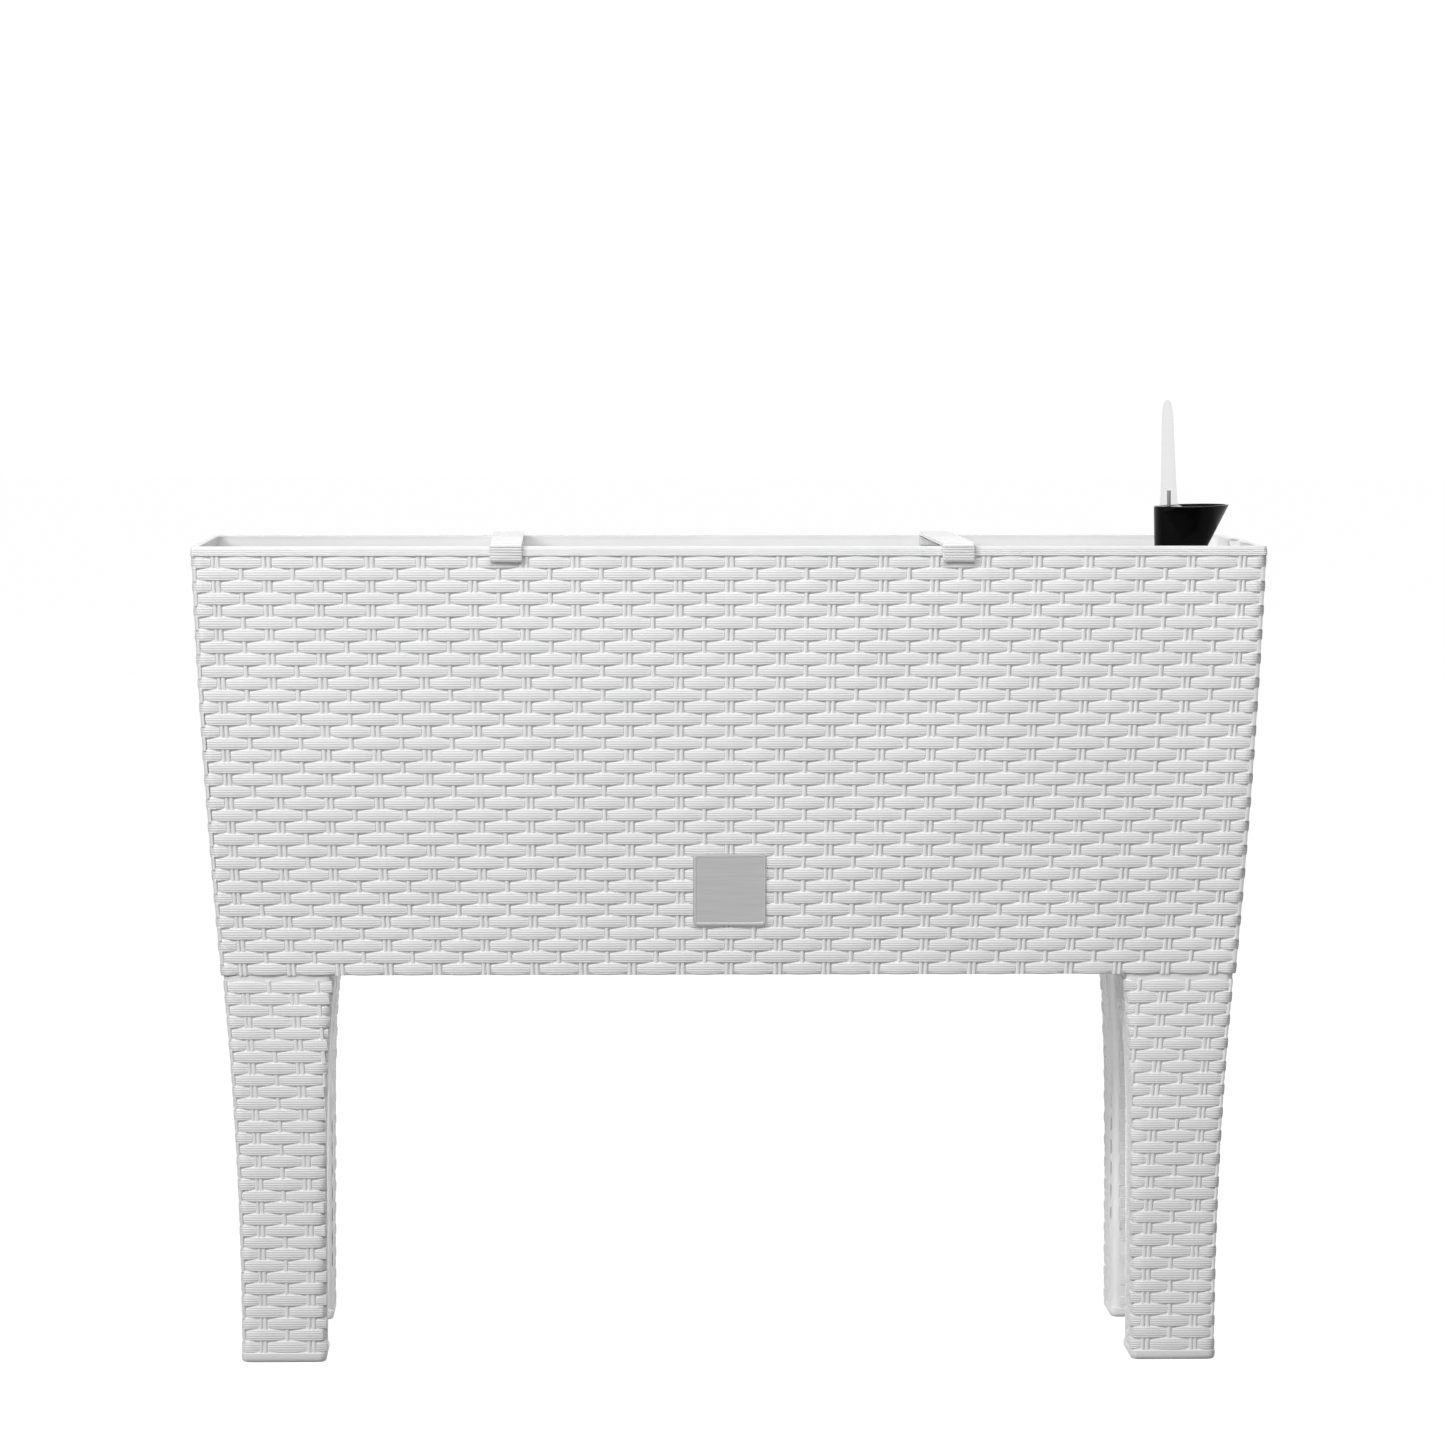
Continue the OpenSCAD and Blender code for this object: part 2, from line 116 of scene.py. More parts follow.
def seen_by_eye(tree):
    """A socket that is 1 for what is seen, also in gloss and through glass, and 0 for light on its way."""
    rays = add(tree, "ShaderNodeLightPath").outputs
    seen = add(tree, "ShaderNodeMath", {0: rays["Is Camera Ray"], 1: rays["Is Glossy Ray"]},
               operation="MAXIMUM")
    seen = add(tree, "ShaderNodeMath", {0: seen.outputs[0], 1: rays["Is Transmission Ray"]},
               operation="MAXIMUM")
    return seen.outputs[0]


# White paper: dull, and lit from behind for the eye and for reflections, so that it stays white.
paper, tree = blank_material("white_paper_sweep")
dull = add(tree, "ShaderNodeBsdfDiffuse", {"Color": linear(paper_colour)})
shaded = add(tree, "ShaderNodeBsdfDiffuse", {"Color": linear(paper_shade)})
glow = add(tree, "ShaderNodeEmission", {"Color": linear(white), "Strength": paper_glow})
lit = add(tree, "ShaderNodeAddShader", {0: shaded.outputs[0], 1: glow.outputs[0]})
mixed = add(tree, "ShaderNodeMixShader", {0: seen_by_eye(tree), 1: dull.outputs[0], 2: lit.outputs[0]})
add(tree, "ShaderNodeOutputMaterial", {"Surface": mixed.outputs[0]})

floor_mesh = bpy.data.meshes.new("paper_floor")
floor_corners = [(x * floor_reach, y * floor_reach, 0) for x, y in ((-1, -1), (1, -1), (1, 1), (-1, 1))]
floor_mesh.from_pydata(floor_corners, [], [(0, 1, 2, 3)])
floor_mesh.materials.append(paper)
floor = bpy.data.objects.new("paper_floor", floor_mesh)
scene.collection.objects.link(floor)

room = bpy.data.worlds.new("white_room")
room.use_nodes = True
room.node_tree.nodes.clear()
tree = room.node_tree
toward = add(tree, "ShaderNodeSeparateXYZ", {0: add(tree, "ShaderNodeTexCoord").outputs["Generated"]})
side_level = add(tree, "ShaderNodeMapRange", {"Value": toward.outputs["X"], "From Min": -1, "From Max": 1,
                                              "To Min": room_left, "To Max": room_right})
behind = add(tree, "ShaderNodeMapRange", {"Value": toward.outputs["Y"], "From Min": behind_from,
                                          "From Max": behind_full}, interpolation_type="SMOOTHSTEP")
wall_level = add(tree, "ShaderNodeMapRange", {"Value": behind.outputs[0], "To Min": side_level.outputs[0],
                                              "To Max": room_behind})
level = add(tree, "ShaderNodeMapRange", {"Value": seen_by_eye(tree), "To Min": wall_level.outputs[0],
                                         "To Max": 1})
sky = add(tree, "ShaderNodeBackground", {"Color": linear(white), "Strength": level.outputs[0]})
add(tree, "ShaderNodeOutputWorld", {"Surface": sky.outputs[0]})
scene.world = room

front = Vector((0, 0, 0.33))
soft_boxes = (
    ("strip_box_above", Vector((-0.04, -0.85, 1.2)), front, 1.4, 0.45, 8.6),
    ("soft_box_left", Vector((-2.6, -2.6, 1.9)), front, 1.4, 1.0, 76),
    ("low_fill_right", Vector((1.0, -1.5, 0.15)), Vector((0.2, 0, 0.12)), 0.6, 0.3, 2.2),
    ("soft_box_behind", Vector((0.3, 2.6, 1.5)), front, 1.8, 1.0, 12),
    ("card_inside_box", Vector((0.03, 0.03, 0.4)), Vector((0.03, 0.03, 1)), 0.5, 0.12, 0.1),
    ("kicker_under_box", Vector((0, -0.08, 0.1)), Vector((0, 1, 0.1)), 0.4, 0.08, 0.3),
)
for name, stand, aim, wide, tall, watts in soft_boxes:
    lamp = bpy.data.lights.new(name, "AREA")
    lamp.shape = "RECTANGLE"
    lamp.size = wide
    lamp.size_y = tall
    lamp.energy = watts
    soft_box = bpy.data.objects.new(name, lamp)
    soft_box.location = stand
    soft_box.rotation_euler = (aim - stand).to_track_quat("-Z", "Y").to_euler()
    soft_box.visible_camera = False
    scene.collection.objects.link(soft_box)


# The outer box: one injection moulding in white polypropylene, tapered so that it leaves its mould,
# with a rounded and grooved rim band, a flat floor, a drain hole and a lug inside the rim at the right end.
box_low, box_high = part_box("outer_box")
rim_top = box_high.z
box_bottom = box_low.z
rim_half_x = box_high.x
rim_half_y = box_high.y
box_height = rim_top - box_bottom
end_taper = 15.5 * mm
end_bow = 0.38
side_taper = 10 * mm
weave_relief = 2 * mm
groove_floor = 0.45 * mm
wall = 2.4 * mm
floor_thick = 3 * mm
floor_round = 3 * mm
floor_round_share = 0.3
floor_top = box_bottom + floor_thick
skin_corner = 0.8 * mm
base_edge = 0.6 * mm
rim_height = 5.5 * mm
rim_width = 7 * mm
rim_end_width = 4 * mm
rim_corner = 2.5 * mm
rim_inner_corner = 7 * mm
rim_bottom = rim_top - rim_height
rim_round = 0.8 * mm
rim_round_height = 4.6 * mm
rim_step = 1.5 * mm
rim_edge = 0.5 * mm
rim_run_in = 18 * mm
groove_count = 3
groove_start = 0.6 * mm
groove_pitch = 1.1 * mm
groove_depth = 0.3 * mm
drain_x = -214.5 * mm
drain_r = 9 * mm
lug_reach = 5.8 * mm
lug_length = 12 * mm
lug_height = 8 * mm
lug_drop = 0.5 * mm
lug_round = 0.8 * mm
lug_bite = 1 * mm
cut_past = 5 * mm
weld = 0.002 * mm

# Polypropylene, injection moulded in a satin mould: white and slightly soft to the eye, a low broad
# sheen, a faint flow mottle in colour and gloss, and fine ribs along each moulded strand. The real
# ribs are near 0.9 mm apart; they are drawn coarser so that they show in the render.
polypropylene, tree = blank_material("white_moulded_polypropylene")
rib_pitch = 1.35 * mm
grain_size = 1.2 * mm
mottle_size = 45 * mm
where = add(tree, "ShaderNodeTexCoord").outputs["Object"]
mottle = add(tree, "ShaderNodeTexNoise", {"Vector": where, "Scale": 1 / mottle_size, "Detail": 3})
tint = add(tree, "ShaderNodeValToRGB", {"Fac": mottle.outputs["Fac"]},
           stops=((0.3, "#E6E6E7"), (0.7, "#EBEBEB")))
gloss = add(tree, "ShaderNodeMapRange", {"Value": mottle.outputs["Fac"], "To Min": 0.4, "To Max": 0.52})
grain = add(tree, "ShaderNodeTexNoise", {"Vector": where, "Scale": 1 / grain_size, "Detail": 2})
grain_bump = add(tree, "ShaderNodeBump", {"Height": grain.outputs["Fac"], "Strength": 0.12,
                                          "Distance": 0.1 * mm})
across = add(tree, "ShaderNodeAttribute", attribute_name="across")
turns = add(tree, "ShaderNodeMath", {0: across.outputs["Fac"], 1: 2 * math.pi / rib_pitch},
            operation="MULTIPLY")
rib = add(tree, "ShaderNodeMath", {0: turns.outputs[0]}, operation="COSINE")
rib_bump = add(tree, "ShaderNodeBump", {"Height": rib.outputs[0], "Normal": grain_bump.outputs[0],
                                        "Strength": 0.6, "Distance": 0.12 * mm})
skin = add(tree, "ShaderNodeBsdfPrincipled", {"Base Color": tint.outputs[0], "Roughness": gloss.outputs[0],
                                              "IOR": 1.49, "Normal": rib_bump.outputs[0]})
add(tree, "ShaderNodeOutputMaterial", {"Surface": skin.outputs[0]})


def rounded_ring(low_x, high_x, low_y, high_y, radius, z, steps=6):
    """Points round a rectangle with rounded corners, at one height, anticlockwise from above."""
    ring = []
    for x, y, start in ((high_x, high_y, 0), (low_x, high_y, 90), (low_x, low_y, 180), (high_x, low_y, 270)):
        middle_x = x - radius if x == high_x else x + radius
        middle_y = y - radius if y == high_y else y + radius
        for step in range(steps + 1):
            angle = math.radians(start + 90 * step / steps)
            ring.append((middle_x + radius * math.cos(angle), middle_y + radius * math.sin(angle), z))
    return ring


def loft(name, rings, smooth_angle=35):
    """A closed mesh through rings of equally many points, with its first and last ring capped."""
    count = len(rings[0])
    points = [point for ring in rings for point in ring]
    faces = [tuple(reversed(range(count)))]
    for level in range(len(rings) - 1):
        below, above = level * count, (level + 1) * count
        for i in range(count):
            j = (i + 1) % count
            faces.append((below + i, below + j, above + j, above + i))
    faces.append(tuple(range((len(rings) - 1) * count, len(rings) * count)))
    mesh = bpy.data.meshes.new(name)
    mesh.from_pydata(points, [], faces)
    return smoothed(mesh, smooth_angle)


def smoothed(mesh, angle=35):
    """The mesh shaded smooth, with edges sharper than the angle left crisp."""
    work = bmesh.new()
    work.from_mesh(mesh)
    bmesh.ops.remove_doubles(work, verts=work.verts, dist=weld)
    bmesh.ops.recalc_face_normals(work, faces=work.faces)
    work.to_mesh(mesh)
    work.free()
    mesh.shade_smooth()
    mesh.set_sharp_from_angle(angle=math.radians(angle))
    return mesh


def carved(mesh, cutters, joins=()):
    """The mesh with other closed meshes joined on and then cut out of it."""
    made = [bpy.data.objects.new(mesh.name, mesh)]
    for operation, others in (("UNION", joins), ("DIFFERENCE", cutters)):
        for other in others:
            tool = bpy.data.objects.new(other.name, other)
            made.append(tool)
            cut = made[0].modifiers.new(other.name, "BOOLEAN")
            cut.operation = operation
            cut.object = tool
            cut.solver = "EXACT"
    for item in made:
        scene.collection.objects.link(item)
    depsgraph = bpy.context.evaluated_depsgraph_get()
    result = bpy.data.meshes.new_from_object(made[0].evaluated_get(depsgraph))
    for item in made:
        bpy.data.objects.remove(item)
    return smoothed(result)


def place(name, mesh, material, body, slot, *nodes):
    """Puts a mesh into the scene as a piece of the planter, in place of the nodes that it stands for."""
    mesh.materials.clear()
    mesh.materials.append(material)
    piece = bpy.data.objects.new(name, mesh)
    scene.collection.objects.link(piece)
    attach(piece, body)
    if nodes:
        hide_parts(*nodes)
    return piece


def crest_half(z):
    """Half the box's length and depth over the crests of its weave at a height."""
    down = (rim_top - z) / box_height
    bowed = down * (1 - end_bow + end_bow * down)
    return rim_half_x - end_taper * bowed, rim_half_y - side_taper * down


def box_ring(inset, z, radius):
    """A ring round the box at a height, set in from the crests of the weave."""
    half_x, half_y = crest_half(z)
    half_x -= inset
    half_y -= inset
    return rounded_ring(-half_x, half_x, -half_y, half_y, radius, z)


def rim_ring(inset, z, radius):
    """A ring round the upright rim band, set in from its face."""
    half_x = rim_half_x - inset
    half_y = rim_half_y - inset
    return rounded_ring(-half_x, half_x, -half_y, half_y, radius, z)


def rim_inset(z):
    """How far the rounded band of the rim stands in from its lower edge at a height."""
    share = max(0, (z - rim_top + rim_round_height) / rim_round_height)
    return rim_round * (1 - math.sqrt(max(0, 1 - share ** 2)))


box_rings = [
    box_ring(weave_relief + base_edge, box_bottom, skin_corner),
    box_ring(weave_relief - groove_floor, box_bottom + base_edge, skin_corner),
    box_ring(weave_relief - groove_floor, rim_bottom - rim_step, skin_corner),
    box_ring(weave_relief / 2, rim_bottom, skin_corner),
    rim_ring(rim_edge, rim_bottom, rim_corner),
    rim_ring(0, rim_bottom + rim_edge, rim_corner),
]
for groove in range(groove_count):
    for share, depth in ((0.1, 0), (0.4, groove_depth), (0.7, 0)):
        z = rim_bottom + groove_start + (groove + share) * groove_pitch
        box_rings.append(rim_ring(rim_inset(z) + depth, z, rim_corner))
for step in range(5, 10):
    z = rim_top - rim_round_height * (1 - math.sin(math.radians(10 * step)))
    box_rings.append(rim_ring(rim_inset(z), z, rim_corner + rim_inset(z)))
# The lip of the rim stands in over the long walls, and less over the end walls: each ring has its inset
# on the long and on the end walls and its drop below the rim's top, in millimetres.
rim_lip = ((6.5, 3.5, 0), (7, 4, 0.5), (7, 4, 0.9), (6.8, 4, 1.6), (6.8, 4, 3), (6.95, 4.2, 7))
for side_inset, end_inset, drop in rim_lip:
    lip_x = rim_half_x - end_inset * mm
    lip_y = rim_half_y - side_inset * mm
    box_rings.append(rounded_ring(-lip_x, lip_x, -lip_y, lip_y, rim_inner_corner, rim_top - drop * mm))
inside = weave_relief + wall
floor_turn = floor_round * floor_round_share
box_rings += [
    box_ring(inside, rim_bottom - rim_run_in, rim_inner_corner),
    box_ring(inside, floor_top + floor_round, rim_inner_corner),
    box_ring(inside + floor_turn, floor_top + floor_turn, rim_inner_corner),
    box_ring(inside + floor_round, floor_top, rim_inner_corner),
]
shell = loft("planter_box", box_rings)


def turned_ring(x, radius, z, sides=40):
    """A ring of a round part that stands upright at X."""
    angles = [2 * math.pi * i / sides for i in range(sides)]
    return [(x + radius * math.cos(angle), radius * math.sin(angle), z) for angle in angles]


def round_bar(name, x, low_z, high_z, radius):
    """An upright round bar, as a cutter."""
    return loft(name, [turned_ring(x, radius, z, sides=48) for z in (low_z, high_z)])


lug_tip = rim_half_x - rim_end_width - lug_reach
lug_root = rim_half_x - rim_end_width + lug_bite
lug_top = rim_top - lug_drop
lug_rings = [rounded_ring(lug_tip, lug_root, -lug_length / 2, lug_length / 2, lug_round, z)
             for z in (lug_top - lug_height, lug_top)]
lug = loft("end_lug", lug_rings)
drain_hole = round_bar("drain_hole", drain_x, box_bottom - cut_past, floor_top + cut_past, drain_r)
shell = carved(shell, [drain_hole], [lug])
place("planter_box", shell, polypropylene, "planter", "shell_white", "outer_box", "box_floor")

# The weave on the box is moulded with it: 35 rows of pillow-shaped strands. Rows with pairs of upright
# posts alternate with rows of single posts half a pitch over, and the strands bend round the corners.
strand_pitch = 28.85 * mm
row_pitch = 6.677 * mm
strand_share = 0.394
long_strand_share = 0.446
strand_half = strand_share * strand_pitch
strand_stretch = long_strand_share / strand_share
strand_tall = 3.68 * mm
strand_end = 2.4 * mm
strand_blunt = 0.25 * mm
strand_fall = 0.55
strand_crease = math.radians(52)
post_half = 1.2 * mm
single_half = 1.25 * mm
post_gap = 0.26 * mm
post_set = 0.2 * mm
post_rise = 1.5 * mm
post_reach = 0.56 * row_pitch
post_crease = 50
sunk = 0.3 * mm
box_rows = 35
top_row = 6.785 * mm
row_loss = 0.17 * mm / box_rows
corner_squeeze = 0.8


def strand_mesh():
    """One strand laid flat: a pillow with blunt ends, sunk a little into the wall."""
    along = (-1, -1, -0.85, -0.5, -0.17, 0.17, 0.5, 0.85, 1, 1)
    over = (-1, -0.985, -0.92, -0.78, -0.4, 0.4, 0.78, 0.92, 0.985, 1)
    section = (0, 0.5, 0.75, 0.87, 0.98, 0.98, 0.87, 0.75, 0.5, 0)
    points = []
    for i, s in enumerate(along):
        tall = strand_tall - (strand_tall - strand_end) * s ** 2
        if abs(s) == 1:
            tall -= strand_blunt
        crest = weave_relief * (1 - strand_fall * s ** 2)
        base = i in (0, len(along) - 1)
        for t, share in zip(over, section):
            rise = -sunk if base or share == 0 else crest * share
            points.append((s * strand_half, t * tall, rise))
    rows = len(over)
    faces = []
    for i in range(len(along) - 1):
        for j in range(rows - 1):
            a = i * rows + j
            faces.append((a, a + rows, a + rows + 1, a + 1))
    last = len(points) - rows
    under = list(range(rows)) + [i * rows + rows - 1 for i in range(1, len(along))]
    under += list(range(last + rows - 2, last - 1, -1)) + [i * rows for i in range(len(along) - 2, 0, -1)]
    faces.append(tuple(under))
    mesh = bpy.data.meshes.new("strand")
    mesh.from_pydata(points, [], faces)
    mesh.shade_smooth()
    mesh.set_sharp_from_angle(angle=strand_crease)
    across_strand = mesh.attributes.new("across", "FLOAT", "POINT")
    across_strand.data.foreach_set("value", [point[1] for point in points])
    return mesh


def post_mesh(name, middles, half):
    """Upright half-round posts laid flat, side by side."""
    profile = ((-1, 0.45), (-0.8, 0.86), (-0.35, 1), (0.35, 1), (0.8, 0.86), (1, 0.45))
    section = [(-half, -sunk)] + [(half * x, post_rise * z) for x, z in profile] + [(half, -sunk)]
    count = len(section)
    points = []
    faces = []
    for middle in middles:
        start = len(points)
        points += [(middle + x, y, z) for y in (-post_reach, post_reach) for x, z in section]
        for i in range(count):
            j = (i + 1) % count
            faces.append((start + i, start + j, start + count + j, start + count + i))
        faces.append(tuple(start + i for i in reversed(range(count))))
        faces.append(tuple(start + count + i for i in range(count)))
    mesh = bpy.data.meshes.new(name)
    mesh.from_pydata(points, [], faces)
    return smoothed(mesh, post_crease)


def hidden(name, mesh):
    """An object that only the weave's tree uses."""
    item = bpy.data.objects.new(name, mesh)
    scene.collection.objects.link(item)
    return item


pair_step = post_half + post_gap
pair_middles = (-pair_step - post_set, pair_step - post_set)
strand = hidden("strand", strand_mesh())
post_pair = hidden("post_pair", post_mesh("post_pair", pair_middles, post_half))
single_post = hidden("single_post", post_mesh("single_post", (-post_set,), single_half))

# The tree lays one flat sheet of weave: a grid of places, split into rows with pairs and rows with single
# posts. Strands stand between the pairs, and over the pairs in the next row.
weave = bpy.data.node_groups.new("moulded_weave", "GeometryNodeTree")
weave_inputs = (
    ("Columns", "NodeSocketInt"),
    ("Rows", "NodeSocketInt"),
    ("Strand Pitch", "NodeSocketFloat"),
    ("Row Pitch", "NodeSocketFloat"),
    ("First Row Single", "NodeSocketInt"),
    ("Long Strand", "NodeSocketFloat"),
    ("Left Reach", "NodeSocketFloat"),
    ("Left Loss", "NodeSocketFloat"),
    ("Right Reach", "NodeSocketFloat"),
    ("Right Loss", "NodeSocketFloat"),
    ("Strand", "NodeSocketObject"),
    ("Post Pair", "NodeSocketObject"),
    ("Single Post", "NodeSocketObject"),
    ("Material", "NodeSocketMaterial"),
)
for label, kind in weave_inputs:
    weave.interface.new_socket(label, in_out="INPUT", socket_type=kind)
weave.interface.new_socket("Geometry", in_out="OUTPUT", socket_type="NodeSocketGeometry")
given = add(weave, "NodeGroupInput").outputs
gaps_x = add(weave, "ShaderNodeMath", {0: given["Columns"], 1: 1.0}, operation="SUBTRACT")
gaps_y = add(weave, "ShaderNodeMath", {0: given["Rows"], 1: 1.0}, operation="SUBTRACT")
size_x = add(weave, "ShaderNodeMath", {0: gaps_x.outputs[0], 1: given["Strand Pitch"]}, operation="MULTIPLY")
size_y = add(weave, "ShaderNodeMath", {0: gaps_y.outputs[0], 1: given["Row Pitch"]}, operation="MULTIPLY")
grid = add(weave, "GeometryNodeMeshGrid", {"Size X": size_x.outputs[0], "Size Y": size_y.outputs[0],
                                           "Vertices X": given["Columns"], "Vertices Y": given["Rows"]})
spot = add(weave, "GeometryNodeInputPosition")
spot = add(weave, "ShaderNodeSeparateXYZ", {0: spot.outputs[0]})
half_y = add(weave, "ShaderNodeMath", {0: size_y.outputs[0], 1: 0.5}, operation="MULTIPLY")
drop = add(weave, "ShaderNodeMath", {0: half_y.outputs[0], 1: spot.outputs["Y"]}, operation="SUBTRACT")
row = add(weave, "ShaderNodeMath", {0: drop.outputs[0], 1: given["Row Pitch"]}, operation="DIVIDE")
row = add(weave, "ShaderNodeMath", {0: row.outputs[0]}, operation="ROUND")
turn = add(weave, "ShaderNodeMath", {0: row.outputs[0], 1: given["First Row Single"]}, operation="ADD")
turn = add(weave, "ShaderNodeMath", {0: turn.outputs[0], 1: 2.0}, operation="FLOORED_MODULO")
is_single = add(weave, "ShaderNodeMath", {0: turn.outputs[0], 1: 0.5}, operation="GREATER_THAN")
split = add(weave, "GeometryNodeSeparateGeometry", {"Geometry": grid.outputs["Mesh"],
                                                    "Selection": is_single.outputs[0]})
half_pitch = add(weave, "ShaderNodeMath", {0: given["Strand Pitch"], 1: 0.5}, operation="MULTIPLY")
sideways = add(weave, "ShaderNodeCombineXYZ", {"X": half_pitch.outputs[0]})
shifted_single = add(weave, "GeometryNodeSetPosition", {"Geometry": split.outputs["Selection"],
                                                        "Offset": sideways.outputs[0]})
shifted_pairs = add(weave, "GeometryNodeSetPosition", {"Geometry": split.outputs["Inverted"],
                                                       "Offset": sideways.outputs[0]})
within = []
for hand, sign in (("Left", -1.0), ("Right", 1.0)):
    lost = add(weave, "ShaderNodeMath", {0: row.outputs[0], 1: given[hand + " Loss"]}, operation="MULTIPLY")
    limit = add(weave, "ShaderNodeMath", {0: given[hand + " Reach"], 1: lost.outputs[0]},
                operation="SUBTRACT")
    away = add(weave, "ShaderNodeMath", {0: spot.outputs["X"], 1: sign}, operation="MULTIPLY")
    short = add(weave, "ShaderNodeMath", {0: away.outputs[0], 1: limit.outputs[0]}, operation="LESS_THAN")
    within.append(short.outputs[0])
kept = add(weave, "ShaderNodeMath", {0: within[0], 1: within[1]}, operation="MULTIPLY")
longer = add(weave, "ShaderNodeCombineXYZ", {"X": given["Long Strand"], "Y": 1, "Z": 1})
laid = []
for points, item, stretch in (
    (shifted_pairs.outputs["Geometry"], "Strand", (1, 1, 1)),
    (split.outputs["Selection"], "Strand", longer.outputs[0]),
    (split.outputs["Inverted"], "Post Pair", (1, 1, 1)),
    (shifted_single.outputs["Geometry"], "Single Post", (1, 1, 1)),
):
    shape = add(weave, "GeometryNodeObjectInfo", {"Object": given[item]})
    copies = add(weave, "GeometryNodeInstanceOnPoints", {"Points": points, "Selection": kept.outputs[0],
                                                         "Instance": shape.outputs["Geometry"],
                                                         "Scale": stretch})
    laid.append(copies.outputs["Instances"])
joined = add(weave, "GeometryNodeJoinGeometry", {"Geometry": laid})
real = add(weave, "GeometryNodeRealizeInstances", {"Geometry": joined.outputs[0]})
coated = add(weave, "GeometryNodeSetMaterial", {"Geometry": real.outputs[0], "Material": given["Material"]})
add(weave, "NodeGroupOutput", {"Geometry": coated.outputs[0]})


def weave_sheet(name, sizes):
    """One flat sheet of weave as a plain mesh, with its points as columns x, y and rise."""
    host = bpy.data.objects.new(name, bpy.data.meshes.new(name))
    scene.collection.objects.link(host)
    modifier = host.modifiers.new("weave", "NODES")
    modifier.node_group = weave
    everywhere = {"Strand Pitch": strand_pitch, "Row Pitch": row_pitch, "Long Strand": strand_stretch,
                  "Strand": strand, "Post Pair": post_pair, "Single Post": single_post,
                  "Material": polypropylene}
    for socket in weave.interface.items_tree:
        if socket.in_out == "INPUT":
            modifier[socket.identifier] = {**everywhere, **sizes}[socket.name]
    depsgraph = bpy.context.evaluated_depsgraph_get()
    mesh = bpy.data.meshes.new_from_object(host.evaluated_get(depsgraph), preserve_all_data_layers=True,
                                           depsgraph=depsgraph)
    bpy.data.objects.remove(host)
    flat = np.empty(len(mesh.vertices) * 3)
    mesh.vertices.foreach_get("co", flat)
    return mesh, flat.reshape(-1, 3)


# Sides are numbered front, right end, back, left end; corner i follows side i, anticlockwise from above.
side_out = ((0, -1), (1, 0), (0, 1), (-1, 0))
side_run = ((1, 0), (0, 1), (-1, 0), (0, -1))
corner_fill = 0.6


def wrapped(s, z, rise, outline, corner, radius):
    """Points at distance s from a corner of a rectangular wall, standing proud of it by their rise."""
    low_x, high_x, low_y, high_y = outline
    corner_x = (high_x, high_x, low_x, low_x)
    corner_y = (low_y, high_y, high_y, low_y)
    lengths = (high_x - low_x, high_y - low_y) * 2
    before = -lengths[corner]
    after = lengths[(corner + 1) % 4]
    turn = np.where(s < before / 2, -1, np.where(s > after / 2, 1, 0))
    points = np.zeros((len(s), 3))
    points[:, 2] = z
    for step, start in ((-1, before), (0, 0 * s), (1, after)):
        k = (corner + step) % 4
        d = s - start
        angle = np.clip((d + radius) / (2 * radius), 0, 1) * math.pi / 2
        squared = np.maximum(np.cos(angle), np.sin(angle)) ** -corner_fill
        chosen = turn == step
        for axis, corner_at in ((0, corner_x[k]), (1, corner_y[k])):
            out, run = side_out[k][axis], side_run[k][axis]
            facing = out * np.cos(angle) + run * np.sin(angle)
            at = corner_at - radius * (run + out) + (radius + rise) * facing * squared
            at = at + run * np.minimum(d + radius, 0) - out * np.maximum(d - radius, 0)
            points[chosen, axis] = at[chosen]
    return points


def shaped(mesh, points):
    """The mesh with its points moved."""
    mesh.vertices.foreach_set("co", points.astype(np.float32).ravel())
    mesh.update()
    mesh.set_sharp_from_angle(angle=strand_crease)
    return mesh


box_sides = (("front", 20), ("right_end", 8), ("back", 20), ("left_end", 8))
for side, (side_name, pitches) in enumerate(box_sides):
    mesh, flat = weave_sheet("weave_" + side_name, {
        "Columns": pitches + 1, "Rows": box_rows, "First Row Single": 0, "Left Reach": 1.0, "Left Loss": 0.0,
        "Right Reach": 1.0, "Right Loss": 0.0})
    u = flat[:, 0] / strand_pitch
    row_place = box_rows / 2 - flat[:, 1] / row_pitch
    z = rim_bottom - (top_row * row_place - row_loss / 2 * row_place ** 2)
    z = np.maximum(z, box_bottom)
    half_x, half_y = crest_half(z)
    half_x = half_x - weave_relief
    half_y = half_y - weave_relief
    length = 2 * (half_x if side % 2 == 0 else half_y)
    pitch = length / (pitches + corner_squeeze)
    past = np.maximum(np.abs(u) - pitches / 2, 0)
    s = np.sign(u) * (np.minimum(np.abs(u), pitches / 2) + corner_squeeze * past) * pitch - length / 2
    points = wrapped(s, z, flat[:, 2], (-half_x, half_x, -half_y, half_y), side, skin_corner)
    place("weave_" + side_name, shaped(mesh, points), polypropylene, "planter", "shell_white",
          "woven_skin")


# The badge plate: a small pressed aluminium plate with a bevelled edge, glued on the front of the box
# over the weave, so it leans with the wall. Its face is bare.
badge_low, badge_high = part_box("badge_plate")
badge_side = 40.5 * mm
badge_thick = 3 * mm
badge_corner = 2 * mm
badge_inner_corner = 0.8 * mm
badge_z = (badge_low.z + badge_high.z) / 2
badge_lean = math.atan(side_taper / box_height)
brush_length = 30 * mm
brush_depth = 1 * mm
brush_width = 0.9 * mm

